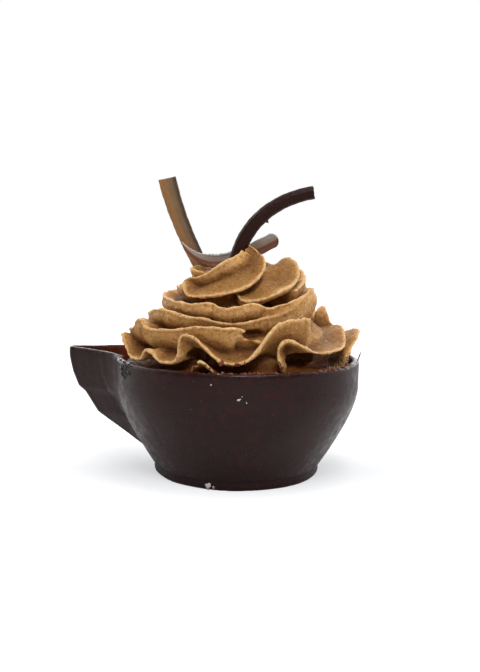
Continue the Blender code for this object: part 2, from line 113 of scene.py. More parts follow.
class CrumbSizes(bpy.types.PropertyGroup):
    """Sizes of the loose chocolate crumbs."""
    crumb: length("Crumb", "Usual size of a crumb", 0.7 * MM)
    rim_count: bpy.props.IntProperty(name="Rim crumbs", description="Crumbs on the rim",
                                     default=170, min=0)
    curl_count: bpy.props.IntProperty(name="Curl crumbs", description="Crumbs at the curls' feet",
                                      default=34, min=0)
    froth_count: bpy.props.IntProperty(name="Froth", description="Bubbles beside the rim",
                                       default=150, min=0)
    smear_count: bpy.props.IntProperty(name="Smears", description="Lumps smeared at the handle",
                                       default=34, min=1)


class Colours(bpy.types.PropertyGroup):
    """Colours of mousse, chocolate and studio."""
    # Painted highlight: lips and rounded parts are lightened towards this colour.
    mousse_lip_highlight: colour("Mousse lip", "Thin edges of the frills", "#e0b884")
    mousse_face: colour("Mousse face", "Faces of the frills", "#b8894f")
    # Painted shade: folds and hollows are darkened towards this colour, where shade falls.
    mousse_fold_shade: colour("Mousse groove", "Wet mousse deep between the frills", "#5c3619")
    cup_outside: colour("Cup outside", "Polished dark chocolate", "#241010")
    # Painted light: a lighter, redder tone for the inner wall and rim, where light falls on the thin
    # wall and shines through it; their duller finish is real.
    cup_inside: colour("Cup inside", "Inner wall and rim, thinner and duller", "#55291a")
    tube: colour("Tube", "Dark chocolate of the rolled curl", "#26100a")
    # Painted glow: the strip's thin side, coloured as if lit through from behind.
    strip_left: colour("Strip, thin side", "Milk chocolate where the strip is thin", "#8f6a45")
    # Painted highlight: the greyer band across the strip's middle, where its bend catches the light.
    strip_middle: colour("Strip, middle", "Strip where bloom greys it", "#77604a")
    strip_right: colour("Strip, thick side", "Strip where it is rolled over", "#4a382c")
    low_under: colour("Low strip, lower edge", "Reddish broken edge", "#6b4436")
    low_strip: colour("Low strip", "Lying strip, dulled by bloom", "#a39484")
    # Painted highlight: the greyer upper edge of the lying strip.
    low_edge_highlight: colour("Low strip, upper edge", "Thickest bloom, greyer still", "#b2b2b2")
    filling: colour("Filling", "Wet chocolate at the foot of the frills", "#74421f")
    crumb: colour("Crumb", "Reddish crumbs", "#6a3a20")
    froth: colour("Froth", "Bubbles beside the rim", "#6e5228")
    smear: colour("Smear", "Wet chocolate at the handle", "#160a06")


class StudioSizes(bpy.types.PropertyGroup):
    """Camera and lights."""
    distance: length("Distance", "From the camera to the cup's axis", 0.21)
    eye_height: length("Eye height", "Height of the camera", 0.0593)
    lens: bpy.props.FloatProperty(name="Lens", description="Focal length in mm", default=38.73)
    pitch: bpy.props.FloatProperty(name="Pitch", description="Camera's turn downwards",
                                   default=np.radians(5.5), subtype="ANGLE", unit="ROTATION")
    roll: bpy.props.FloatProperty(name="Roll", description="Camera's turn round its own axis",
                                  default=np.radians(0.82), subtype="ANGLE", unit="ROTATION")
    shift: bpy.props.FloatProperty(name="Shift", description="Lens shift sideways", default=0.0028)
    key: bpy.props.FloatProperty(name="Key", description="Power of the light in front, overhead",
                                 default=1.0, unit="POWER")
    top: bpy.props.FloatProperty(name="Top", description="Power of the light overhead",
                                 default=0.7, unit="POWER")
    back: bpy.props.FloatProperty(name="Back", description="Brightness of the white background",
                                  default=3.1)
    front: bpy.props.FloatProperty(name="Front", description="Brightness behind the camera",
                                   default=0.12)


def smoothstep(x):
    """0 below 0, 1 above 1, and 3 x**2 - 2 x**3 between."""
    x = np.clip(x, 0.0, 1.0)
    return x * x * (3.0 - 2.0 * x)


def unit(vectors):
    """Rows scaled to length 1."""
    return vectors / np.maximum(np.linalg.norm(vectors, axis=-1, keepdims=True), 1e-12)


def cylindrical(radius, angle, height):
    """Points r cos a, r sin a, z from radii, angles in degrees and heights."""
    turn = np.radians(angle)
    return np.stack([radius * np.cos(turn), radius * np.sin(turn), height], axis=-1)


def ripple(points, wave, seed, waves=28):
    """Smooth noise of spread 1: the sum of sines along random directions, of about one length."""
    rng = np.random.default_rng(seed)
    way = unit(rng.normal(size=(waves, 3)))
    number = 2.0 * np.pi / (wave * rng.uniform(0.7, 1.5, waves))
    phase = points @ (way * number[:, None]).T + rng.uniform(0.0, 2.0 * np.pi, waves)
    return np.sin(phase).sum(axis=1) * np.sqrt(2.0 / waves)


def wander(angle, seed, pace, waves=6):
    """Smooth noise of spread 1 along an angle in degrees: sines of whole turns near pace."""
    rng = np.random.default_rng(seed)
    turns = np.maximum(1, np.round(pace * rng.uniform(0.5, 1.6, waves)))
    phase = np.radians(angle)[..., None] * turns + rng.uniform(0.0, 2.0 * np.pi, waves)
    return np.sin(phase).sum(axis=-1) * np.sqrt(2.0 / waves)


def grid_faces(rows, sides, closed_rows=False):
    """Quads over a rows x sides grid that is closed sideways, as an array of corner numbers."""
    i = np.arange(rows if closed_rows else rows - 1)[:, None]
    j = np.arange(sides)[None, :]
    low = i * sides
    high = ((i + 1) % rows) * sides
    right = (j + 1) % sides
    return np.stack([low + j, low + right, high + right, high + j], axis=-1).reshape(-1, 4)


def new_mesh(name, points, faces, caps=()):
    """A mesh object from an array of points, one of quads and a list of end polygons."""
    mesh = bpy.data.meshes.new(name)
    mesh.from_pydata(points.tolist(), [], faces.tolist() + [list(map(int, c)) for c in caps])
    mesh.validate()
    mesh.update()
    obj = bpy.data.objects.new(name, mesh)
    bpy.context.scene.collection.objects.link(obj)
    return obj


def closed_grid(name, grid, closed_rows=False, inward=False):
    """A solid from a rows x sides x 3 grid of points, its ends capped unless its rows close up."""
    rows, sides = grid.shape[:2]
    faces = grid_faces(rows, sides, closed_rows)
    ring = np.arange(sides)
    caps = [] if closed_rows else [ring[::-1], (rows - 1) * sides + ring]
    if inward:
        faces = faces[:, ::-1]
        caps = [cap[::-1] for cap in caps]
    return new_mesh(name, grid.reshape(-1, 3), faces, caps)


def apply_modifiers(obj):
    """Bakes an object's modifiers into its mesh."""
    depsgraph = bpy.context.evaluated_depsgraph_get()
    mesh = bpy.data.meshes.new_from_object(obj.evaluated_get(depsgraph))
    old = obj.data
    obj.modifiers.clear()
    obj.data = mesh
    bpy.data.meshes.remove(old)


def delete(obj):
    """Removes an object and its mesh."""
    mesh = obj.data
    bpy.data.objects.remove(obj)
    bpy.data.meshes.remove(mesh)


def read_mesh(parts, name, width, kind=np.float64):
    """One property of all of a mesh's parts, as an array of width columns."""
    flat = np.empty(len(parts) * width, dtype=kind)
    parts.foreach_get(name, flat)
    return flat.reshape(-1, width)


def points_of(obj):
    """An object's vertices as an array."""
    return read_mesh(obj.data.vertices, "co", 3)


def normals_of(obj):
    """An object's vertex normals as an array."""
    return read_mesh(obj.data.vertex_normals, "vector", 3)


def edges_of(obj):
    """An object's edges as an array of vertex pairs."""
    return read_mesh(obj.data.edges, "vertices", 2, np.int32)


def move_points(obj, points):
    """Puts an object's vertices at these points."""
    obj.data.vertices.foreach_set("co", points.ravel())
    obj.data.update()


def softened(points, edges, rounds, share=0.5):
    """Points moved towards the mean of their neighbours, by a share of the way, in rounds."""
    count = len(points)
    a, b = edges.T
    share = np.broadcast_to(share, count)[:, None]
    degree = (np.bincount(a, minlength=count) + np.bincount(b, minlength=count))[:, None]
    for _ in range(rounds):
        total = np.stack([np.bincount(a, points[b, k], count) + np.bincount(b, points[a, k], count)
                          for k in range(3)], axis=1)
        points = points + share * (total / np.maximum(degree, 1) - points)
    return points


def set_attribute(obj, name, values):
    """Stores one number for each vertex, for the materials to read."""
    layer = obj.data.attributes.new(name, "FLOAT", "POINT")
    layer.data.foreach_set("value", values.astype(np.float32))


def finish_piece(obj, node=None, smooth=True):
    """Gives a finished piece its body, and lets it stand for a CAD node."""
    if smooth:
        obj.data.shade_smooth()
    if node:
        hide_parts(node)
    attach(obj, BODY)


def add_node(tree, kind, **settings):
    """Adds a shader node with its settings and links.

    A setting goes to the node's input of that name, written small with underscores, or else to
    its property. A node given for an input is linked by its first output in use.
    """
    node = tree.nodes.new("ShaderNode" + kind)
    inputs = {socket.identifier.lower().replace(" ", "_"): socket for socket in node.inputs}
    for name, value in settings.items():
        if isinstance(value, bpy.types.Node):
            value = next(socket for socket in value.outputs if socket.enabled)
        if name not in inputs:
            setattr(node, name, value)
        elif isinstance(value, bpy.types.NodeSocket):
            tree.links.new(value, inputs[name])
        elif inputs[name].type == "RGBA":
            inputs[name].default_value = (*value, 1.0)
        else:
            inputs[name].default_value = value
    return node


# The cup: a turned shell with an open-topped fin for a handle

CUP_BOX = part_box("cup")
RIM_RADIUS = CUP_BOX[1].x
RIM_HEIGHT = 33.4 * MM
SHOULDER_HEIGHT = 26.0 * MM
BELLY_HEIGHT = 18.9 * MM
FLOOR = 2.6 * MM
LIP_ROUND = 0.5 * MM
RIM_TILT = 0.012
FIN_ANGLE = 165.0
FIN_REACH = 54.2 * MM
FIN_HALF_ANGLE = 20.0
FIN_TIP_HALF = 2.0 * MM
FIN_ROOT = 20.0 * MM
FIN_STEP_HEIGHT = 21.2 * MM
FIN_CORNER = (44.6 * MM, 14.2 * MM)
FIN_FOOT = (25.5 * MM, 2.3 * MM)
FIN_TOP_TILT = 0.05
FIN_FLARE = 2.6 * MM
FIN_FLARE_AT = 33.0 * MM
FIN_FLARE_RUN = 2.6 * MM
FIN_ROWS = 20
# Heights of the fin's levels above its corner, and of its hollow's
FIN_HEIGHTS = np.linspace((15.0, 16.0), 31.0, 24).T * MM
CUP_TRIANGLES = 170000
TURN_SIDES = 256


def belly_curve(sizes, count=40):
    """Radius and height up the belly: a quadratic Bezier curve from the neck to the shoulder."""
    start = np.array([sizes.foot_radius, sizes.foot_ring])
    pull = np.array([RIM_RADIUS, BELLY_HEIGHT])
    end = np.array([RIM_RADIUS, SHOULDER_HEIGHT])
    t = np.linspace(0.0, 1.0, count)[:, None]
    return (1.0 - t) ** 2 * start + 2.0 * t * (1.0 - t) * pull + t ** 2 * end


def inner_curve(sizes, inset):
    """The belly's curve moved square to itself by inset, with the floor's rounded corner."""
    curve = belly_curve(sizes)
    along = unit(np.gradient(curve, axis=0))
    inner = curve - inset * np.stack([along[:, 1], -along[:, 0]], axis=1)
    floor = FLOOR + inset - sizes.wall
    wall = inner[inner[:, 1] > floor + 2.0 * MM]
    heel = wall[0, 0] - np.array([4.2, 1.6]) * MM
    return np.concatenate([np.stack([heel, [floor, floor + 0.7 * MM]], axis=1), wall])


def turned(profile, tilt=0.0, tilt_above=1.0):
    """A profile of radius and height turned round Z: r cos a, r sin a, z, higher at the back."""
    angle = np.linspace(0.0, 360.0, TURN_SIDES, endpoint=False)[None, :]
    radius, height = profile[:, :1], profile[:, 1:]
    grid = cylindrical(radius + 0.0 * angle, angle + 0.0 * radius, height + 0.0 * angle)
    grid[..., 2] += tilt * grid[..., 1] * (height > tilt_above)
    return grid


def fin_reach(height, inset):
    """How far the fin's edge stands from the axis at each height, moved inwards by inset."""
    step = FIN_STEP_HEIGHT
    outline = np.array([
        FIN_FOOT, FIN_CORNER,
        (FIN_REACH - 5.3 * MM, step - 0.9 * MM), (FIN_REACH - 3.1 * MM, step + 0.7 * MM),
        (FIN_REACH - 1.2 * MM, step + 5.0 * MM), (FIN_REACH - 0.1 * MM, step + 9.5 * MM),
        (FIN_REACH + 0.2 * MM, RIM_HEIGHT * 1.4),
    ])
    along = unit(np.gradient(outline, axis=0))
    moved = outline + inset * np.stack([-along[:, 1], along[:, 0]], axis=1)
    return np.interp(height, moved[:, 1], moved[:, 0])


def fin_axes():
    """The fin's outward and sideways directions in the level plane."""
    turn = np.radians(FIN_ANGLE)
    return np.array([np.cos(turn), np.sin(turn)]), np.array([-np.sin(turn), np.cos(turn)])


def fin_half(station, bend, tip_half, inset):
    """Half the fin's width: a wedge from its tip, with a flare where it meets the cup."""
    half = tip_half + (bend - station) * np.tan(np.radians(FIN_HALF_ANGLE))
    flare = np.exp(-np.maximum(station - FIN_FLARE_AT, 0.0) / FIN_FLARE_RUN)
    return half + (FIN_FLARE - inset) * flare * (half > 3.0 * tip_half)


def fin_grid(inset, heights, top_tilt):
    """Level outlines of the fin, or of its hollow, stacked up: out to a round tip and back."""
    height = heights[:, None]
    tip_half = FIN_TIP_HALF - 0.7 * inset
    bend = fin_reach(height, inset) - tip_half
    run = np.concatenate([np.linspace(0.0, 0.5, 14), [0.65, 0.8, 1.0]])[None, :]
    station = np.maximum(bend - FIN_FLARE_AT, 0.0) * run + np.minimum(FIN_FLARE_AT, bend - 0.1 * MM)
    station = np.concatenate([np.full_like(height, FIN_ROOT), station], axis=1)
    half = fin_half(station, bend, tip_half, inset)
    nose = np.radians(np.linspace(75.0, 12.0, 6))[None, :]
    station = np.concatenate([station, bend + tip_half * np.cos(nose)], axis=1)
    half = np.concatenate([half, np.repeat(tip_half * np.sin(nose), len(heights), axis=0)], axis=1)
    station = np.concatenate([station, station[:, ::-1]], axis=1)
    half = np.concatenate([half, -half[:, ::-1]], axis=1)
    outward, sideways = fin_axes()
    flat = station[..., None] * outward + half[..., None] * sideways
    level = np.repeat(height, station.shape[1], axis=1)
    level[-1] += top_tilt * flat[-1, :, 1]
    return np.concatenate([flat, level[..., None]], axis=-1)


def combine(obj, operation, tool, solver="EXACT"):
    """Joins a tool to a solid or cuts it away, and removes the tool."""
    step = obj.modifiers.new(operation, "BOOLEAN")
    step.operation = operation
    step.object = tool
    step.solver = solver
    apply_modifiers(obj)
    delete(tool)


def rebuilt(obj, cell, rounds):
    """Rebuilds a solid from even cells and softens it, which rounds its edges by about a cell."""
    remesh = obj.modifiers.new("cells", "REMESH")
    remesh.mode = "VOXEL"
    remesh.voxel_size = cell
    apply_modifiers(obj)
    move_points(obj, softened(points_of(obj), edges_of(obj), rounds))


def thinned(obj, triangles):
    """Merges short edges on flat ground until the solid has no more than so many triangles."""
    obj.data.calc_loop_triangles()
    share = triangles / len(obj.data.loop_triangles)
    if share < 1.0:
        reduce = obj.modifiers.new("thin", "DECIMATE")
        reduce.ratio = share
        apply_modifiers(obj)


def depth_in_shell(points, sizes):
    """How deep each point lies under the cup's outer form, the fin included, in metres."""
    x, y, z = points.T
    radius = np.hypot(x, y)
    curve = belly_curve(sizes)
    round_depth = np.interp(z, curve[:, 1], curve[:, 0]) - radius
    outward, sideways = fin_axes()
    station = points[:, :2] @ outward
    side = np.abs(points[:, :2] @ sideways)
    bend = fin_reach(z, 0.0) - FIN_TIP_HALF
    wedge = (fin_half(station, bend, FIN_TIP_HALF, 0.0) - side) * np.cos(np.radians(FIN_HALF_ANGLE))
    tip = FIN_TIP_HALF - np.hypot(np.maximum(station - bend, 0.0), side)
    fin_depth = np.where(station > bend, tip, wedge)
    fin_depth = np.where((station > FIN_ROOT) & (z > FIN_FOOT[1]), fin_depth, -1.0)
    return np.maximum(round_depth, fin_depth)


def rim_wear(points):
    """How far the rim's edge is worn down: shallow waves all round, and chips where it is rough."""
    angle = np.degrees(np.arctan2(points[:, 1], points[:, 0])) % 360.0
    wear = 0.05 * MM * (1.0 + wander(angle, 5, 9.0))
    rough = np.exp(-((angle - 318.0) / 17.0) ** 4) + np.exp(-((angle - 190.0) / 9.0) ** 4)
    return wear + rough * 0.16 * MM * (1.0 + wander(angle, 6, 70.0)).clip(0.0)


def cup_body(sizes):
    """The cup as one solid: foot, belly and rim turned round the axis, joined with the fin."""
    foot, ring = sizes.foot_radius, sizes.foot_ring
    bottom = np.array([(foot - 0.5 * MM, 0.0), (foot, 0.5 * MM), (foot, ring - 0.3 * MM),
                       (foot - sizes.neck_inset, ring)])
    top = np.array([(RIM_RADIUS, RIM_HEIGHT - LIP_ROUND), (RIM_RADIUS - LIP_ROUND, RIM_HEIGHT)])
    outside = np.concatenate([bottom, belly_curve(sizes)[1:], top])
    body = closed_grid("cup_shell", turned(outside, RIM_TILT, SHOULDER_HEIGHT + LIP_ROUND))
    heights = np.concatenate([np.linspace(FIN_FOOT[1], FIN_CORNER[1], FIN_ROWS), FIN_HEIGHTS[0],
                              [RIM_HEIGHT]])
    combine(body, "UNION", closed_grid("fin", fin_grid(0.0, heights, FIN_TOP_TILT), inward=True))
    return body


def hollow_out(body, sizes):
    """Cuts the cup's hollow and the fin's out of the solid cup, through its top."""
    rim = RIM_RADIUS - sizes.wall
    mouth = np.array([(rim, RIM_HEIGHT - LIP_ROUND), (rim, RIM_HEIGHT * 1.3)])
    hollow = np.concatenate([inner_curve(sizes, sizes.wall), mouth])
    combine(body, "DIFFERENCE", closed_grid("hollow", turned(hollow)))
    heights = np.concatenate([
        np.linspace(FIN_FOOT[1] + 3.5 * MM, FIN_CORNER[1] + 1.2 * MM, FIN_ROWS), FIN_HEIGHTS[1],
        [RIM_HEIGHT * 1.3]])
    combine(body, "DIFFERENCE",
            closed_grid("fin_hollow", fin_grid(sizes.wall, heights, 0.0), inward=True))


def joint_share(points):
    """How much each point belongs to the joint of fin and belly: 1 in the crease, 0 away."""
    outward, sideways = fin_axes()
    radius = np.hypot(points[:, 0], points[:, 1])
    station = points[:, :2] @ outward
    side = np.abs(points[:, :2] @ sideways)
    joint = smoothstep(1.0 - np.abs(radius - RIM_RADIUS - 0.5 * MM) / (4.0 * MM))
    return (joint * (station > FIN_ROOT)
            * smoothstep(1.0 - np.abs(side - 10.0 * MM) / (8.0 * MM)))


def build_cup_shell(sizes):
    """The cup's shell: cast solid, hollowed, its edges and joint softened, its faces uneven."""
    shell = cup_body(sizes)
    hollow_out(shell, sizes)
    rebuilt(shell, sizes.grain, 4)
    points = points_of(shell)
    points = softened(points, edges_of(shell), 24, 0.5 * joint_share(points))
    move_points(shell, points)
    points = points + normals_of(shell) * (0.035 * MM * ripple(points, 13.0 * MM, 3)
                                           + 0.008 * MM * ripple(points, 3.0 * MM, 4))[:, None]
    edge = smoothstep((points[:, 2] - RIM_HEIGHT + 1.1 * MM) / (1.0 * MM))
    points[:, 2] = np.maximum(points[:, 2] - edge * rim_wear(points), 0.0)
    move_points(shell, points)
    thinned(shell, CUP_TRIANGLES)
    depth = depth_in_shell(points_of(shell), sizes)
    set_attribute(shell, "inside", smoothstep((depth - 0.5 * sizes.wall) / (0.45 * sizes.wall)))
    return shell


# The mousse: frills round a core

FILL_GAP = 0.5 * MM
FILL_LEVEL = 32.0 * MM
SWIRL_TILT = 0.10
POCKET_ROWS = 24
POCKET_SIDES = 48
SHEET_STEPS = 18


class Fold(NamedTuple):
    """One fold of a frill: where it stands, half its width, and how its crest moves.

    Its crest is round at power 2 and flat with steep sides at power 4.
    """
    angle: float
    width: float
    lift: float
    reach: float
    lean: float
    power: float = 2.6


class Waves(NamedTuple):
    """Even folds along a stretch of a frill, from first to last angle."""
    first: float
    last: float
    number: int
    lift: float
    reach: float
    lean: float


class Frill(NamedTuple):
    """One piped frill, in degrees and millimetres: a sheet from a root out to a crest.

    Pairs are values at its start and end. thick is what its underside adds at the root, and
    square says how its edge falls: near 0 it is a steep band, at 2 it is a thin blade. fades are
    how many degrees its free ends take to rise from its root.
    """
    start: float
    sweep: float
    radius: tuple
    height: tuple
    root_radius: tuple
    root_height: tuple
    ease: float
    tilt: float
    belly: float
    thick: float
    square: float
    folds: tuple
    waves: tuple = ()
    fades: tuple = (14, 14)


class Hollow(NamedTuple):
    """A pocket between folds: where its middle is, and its half run, half depth, half height."""
    angle: float
    radius: float
    height: float
    run: float
    depth: float
    rise: float


FRILLS = {
    "skirt": Frill(180, 360, (31.5, 31.5), (31.6, 31.6), (24, 24), (32, 32), 1, 0, 0.3, 3, 2, (
        Fold(254, 4.8, 3.8, 0.5, 1.5),
        Fold(368, 20, 9.2, 0.0, 0.0),
        Fold(369, 16, 0.0, 4.3, 0.0),
        Fold(395, 12, 5.0, 1.2, 0.0),
    ), (Waves(400, 545, 3, 4.5, 0.8, 4.0),)),
    "shell": Frill(274, 128, (30.5, 29.5), (36.6, 36.6), (21, 21), (38, 43), 1, 0, 1.2, 3, 2, (
        Fold(280, 21, -6.8, -0.8, 0.0, 6.0),
        Fold(304, 7.0, 4.4, 0.5, 12.5, 3.0),
        Fold(335, 14, 0.5, 1.0, 0.0),
        Fold(374, 24, 5.2, 1.0, 0.0),
        Fold(391, 6, 7.0, 0.0, 0.0),
    ), (), (4, 7)),
    "ruffle": Frill(186, 128, (33, 28), (34.3, 35.5), (24, 24.5), (38, 38), 2, 0, 0.8, 2.4, 2, (
        Fold(196, 8, 6.2, 1.0, 0.0),
        Fold(225, 5, 2.8, 0.0, 1.5),
        Fold(252, 8.0, 7.3, 0.0, 6.5),
        Fold(302, 22, 10.4, 0.0, 0.0, 4.0),
    ), (), (14, 2)),
    "back_ruffle": Frill(385, 175, (31.5, 32.0), (36.5, 35.5), (23, 23), (38, 37), 1, 0, 0.8, 3, 2, (
    ), (Waves(388, 555, 4, 6.2, 1.4, 7.0),)),
    "ledge": Frill(178, 118, (32.8, 25.5), (40.5, 44.0), (20, 20), (41, 42), 0.7, 0, 0.6, 6.5, 0.35, (
        Fold(206, 6, 2.6, 0.0, 0.0),
        Fold(250, 9, 0.6, 0.0, 0.0),
        Fold(289, 14, -4.2, 0.0, 0.0, 4.0),
    )),
    "back_ledge": Frill(375, 168, (26, 30), (45.5, 42.3), (19, 20), (43, 41), 1, 0, 0.6, 5, 0.5, (
    ), (Waves(385, 530, 3, 3.0, 1.2, 5.0),)),
    "rise": Frill(160, 200, (26.3, 20.8), (45.6, 45.8), (17, 15), (43, 45), 1, 0, 0.6, 4.5, 0.35, (
        Fold(213, 16, 1.6, 0.0, 0.0),
        Fold(266, 15, -1.4, 0.0, 0.0),
        Fold(350, 38, 7.5, 0.0, 0.0),
    )),
    "tier": Frill(180, 360, (21.6, 21.6), (50.8, 50.8), (12, 12), (46, 46), 1, 2.2, 0.4, 4, 0.3, (
        Fold(249, 9, 0.6, 0.0, 0.0),
        Fold(260, 6, -0.8, 0.0, 0.0),
        Fold(279, 6, 0.8, 0.0, 0.0),
        Fold(292, 5, -0.6, 0.0, 0.0),
        Fold(335, 25, 2.0, 0.0, 0.0),
        Fold(369, 22, 1.6, -0.4, 0.0),
    ), (Waves(380, 520, 3, 1.4, 0.7, 3.0),)),
    "collar": Frill(80, 130, (18.5, 17.3), (55.0, 52.8), (9, 9), (53, 51), 1, 0, 0.3, 3, 0.4, (
    )),
    "spiral": Frill(183, 152, (17, 3.2), (50.6, 67.0), (9, 1), (54.0, 65.5), 3.6, 0, 0.8, 1.2, 0.5, (
        Fold(183, 22, 5.5, -0.8, 0.0),
        Fold(315, 12, 0.0, 1.5, 0.0),
    )),
    "petal": Frill(164, 124, (15.2, 3.4), (54.8, 64.6), (7, 1), (54.5, 62.0), 1.5, 0, 0.3, 4, 0.35, (
        Fold(212, 16, -0.8, 0.0, 0.0),
        Fold(255, 16, 0.3, 0.8, 0.0),
    ), (), (14, 8)),
    "cap": Frill(260, 180, (16.0, 12), (50.5, 62.5), (5, 3), (56, 59), 1.2, 0, 1.0, 3.5, 0.4, (
        Fold(286, 16, -1.6, 0.0, 0.0),
        Fold(322, 36, 0.0, 3.8, 0.0),
        Fold(360, 28, 5.0, 0.0, 0.0),
    )),
    "flank": Frill(312, 80, (19.2, 18.6), (50.5, 60.0), (9, 9), (50, 56), 0.8, 0, 0.3, 4.5, 0.3, (
    )),
    "crown": Frill(80, 120, (13, 14), (61.0, 58.0), (5, 6), (58, 56), 1, 0, 0.3, 3, 0.4, (
    )),
}

CORE_PROFILE = (
    (26.0, 33.0), (25.6, 37.0), (24.6, 41.0), (21.5, 43.5), (18.0, 46.0),
    (12.0, 47.6), (10.5, 52.5), (8.0, 55.5), (4.0, 57.0),
)

HOLLOWS = (
    Hollow(281, 25.2, 42.0, 4.2, 3.8, 1.6),
    Hollow(318, 24.0, 43.4, 2.2, 4.5, 2.4),
    Hollow(309, 27.4, 35.0, 7.0, 5.6, 2.3),
    Hollow(249, 28.6, 36.0, 2.9, 5.2, 2.5),
)

# Larger burst bubbles, in millimetres: x, y, z and radius
BUBBLES = (
    (-13.2, -21.8, 48.1, 0.7), (-12.3, -22.7, 47.1, 0.8), (-11.3, -23.0, 47.6, 0.5),
    (1.2, -24.5, 48.2, 0.5), (-13.6, -29.0, 40.7, 0.5), (-4.2, -31.7, 40.8, 0.5),
    (19.5, -23.5, 38.7, 0.6), (13.8, -26.6, 38.2, 0.6), (-25.8, -20.5, 36.4, 0.4),
)


def between(pair, part):
    """The even change from the first of a pair to the second."""
    return pair[0] + (pair[1] - pair[0]) * part


def frill_lines(frill, count):
    """The crest and root of a frill as two arrays of points in millimetres.

    The crest is a helix from first to last radius and height, late or early by its ease. Each
    fold adds a bell, exp(-|a / w| ** power), to its height, reach and lean, and waves do the same
    at even steps. The root is a plain helix, and a free end shrinks back towards it.
    """
    part = np.linspace(0.0, 1.0, count)
    angle = frill.start + frill.sweep * part
    radius = between(frill.radius, part ** frill.ease)
    height = between(frill.height, part ** frill.ease)
    sway = frill.tilt * np.sin(np.radians(angle))
    lean = np.zeros(count)
    for waves in frill.waves:
        fade = smoothstep((angle - waves.first) / 15.0) * smoothstep((waves.last - angle) / 15.0)
        phase = 2.0 * np.pi * waves.number * (angle - waves.first) / (waves.last - waves.first)
        swell = fade * (0.5 + 0.5 * np.sin(phase)) * (1.0 + 0.3 * np.sin(1.7 * phase))
        height = height + waves.lift * swell
        radius = radius + waves.reach * swell
        lean = lean + waves.lean * swell
    for fold in frill.folds:
        bell = np.exp(-np.abs((angle - fold.angle) / fold.width) ** fold.power)
        height = height + fold.lift * bell
        radius = radius + fold.reach * bell
        lean = lean + fold.lean * bell
    crest = cylindrical(radius, angle - lean, height + sway)
    root = cylindrical(between(frill.root_radius, part), angle,
                       between(frill.root_height, part) + sway)
    if frill.sweep < 360:
        ends = np.minimum(part / frill.fades[0], (1.0 - part) / frill.fades[1])
        crest = root + (crest - root) * (0.4 + 0.6 * smoothstep(frill.sweep * ends))[:, None]
    return crest, root


def frill_grid(frill, lip_thickness, seed):
    """A closed blade as a grid of points in metres: its sections along its crest.

    Each section is a line from root to crest whose middle sags by the frill's belly,
    4 b s (1 - s). Its upper side stands half a lip off it, its lower side half a lip and thick
    times s ** square more, where s is the share of the way back from the crest. The lip is
    round. Shallow furrows run along both faces, as a nozzle leaves them, and the crest is torn
    in and out a little.
    """
    closed = frill.sweep >= 360
    count = int(frill.sweep * 2.5)
    crest, root = frill_lines(frill, count)
    angle = np.linspace(0.0, 360.0, count)
    tear = 0.10 * wander(angle, seed, 40.0) + 0.05 * wander(angle, seed + 50, 130.0)
    crest = crest + unit(crest - root) * (tear * min(1.0, frill.square ** 2))[:, None]
    if closed:
        crest = crest[:-1]
        root = root[:-1]
        angle = angle[:-1]
    along = np.roll(crest, -1, axis=0) - np.roll(crest, 1, axis=0)
    if not closed:
        along[0] = crest[1] - crest[0]
        along[-1] = crest[-1] - crest[-2]
    out = crest - root
    normal = unit(np.cross(out, along))
    direction = unit(out)
    inward = (1.0 - np.sin(np.linspace(0.0, 0.5 * np.pi, SHEET_STEPS)))[:, None]
    lip = 0.5 * lip_thickness / MM
    middle = crest[:, None] - out[:, None] * inward
    middle = middle - normal[:, None] * (frill.belly * 4.0 * inward * (1.0 - inward))
    reach = np.linalg.norm(out, axis=1)[:, None, None] * inward
    drift = wander(angle, seed + 20, 3.0)[:, None, None]
    furrow = 0.09 * np.sin(2.0 * np.pi * reach / 1.7 + 1.2 * drift) * smoothstep(inward * 4.0)
    upper = middle + normal[:, None] * (lip + 0.5 * inward ** 2 + furrow)
    lower = middle - normal[:, None] * (lip + frill.thick * inward ** frill.square - furrow)
    turn = np.radians(np.linspace(60.0, -60.0, 5))[:, None]
    nose = crest[:, None] + lip * (direction[:, None] * np.cos(turn)
                                   + normal[:, None] * np.sin(turn))
    return np.concatenate([upper, nose, lower[:, ::-1]], axis=1) * MM, closed


def core_grid(cup_sizes):
    """The mousse under its frills, turned: the fill in the cup and a stepped, leaning cone."""
    fill = inner_curve(cup_sizes, cup_sizes.wall + FILL_GAP)
    rim = RIM_RADIUS - cup_sizes.wall - FILL_GAP
    fill = np.concatenate([fill, [(rim, FILL_LEVEL - 1.0 * MM), (rim - 1.0 * MM, FILL_LEVEL)]])
    cone = np.array(CORE_PROFILE) * MM
    return turned(np.concatenate([fill, cone]), SWIRL_TILT, FILL_LEVEL)


def pocket(hollow):
    """A hollow as a closed ellipsoid: m + d sin p cos t, r sin p sin t, h cos p."""
    polar = np.linspace(0.0, np.pi, POCKET_ROWS + 1)[1:-1, None]
    turn = np.linspace(0.0, 2.0 * np.pi, POCKET_SIDES, endpoint=False)[None, :]
    outward = cylindrical(1.0, hollow.angle, 0.0)
    sideways = cylindrical(1.0, hollow.angle + 90.0, 0.0)
    upward = np.array([0.0, 0.0, 1.0])
    middle = cylindrical(hollow.radius, hollow.angle, hollow.height)
    ball = (middle + (hollow.depth * np.sin(polar) * np.cos(turn))[..., None] * outward
            + (hollow.run * np.sin(polar) * np.sin(turn))[..., None] * sideways
            + (hollow.rise * np.cos(polar) + 0.0 * turn)[..., None] * upward)
    return closed_grid("pocket", ball * MM, inward=True)


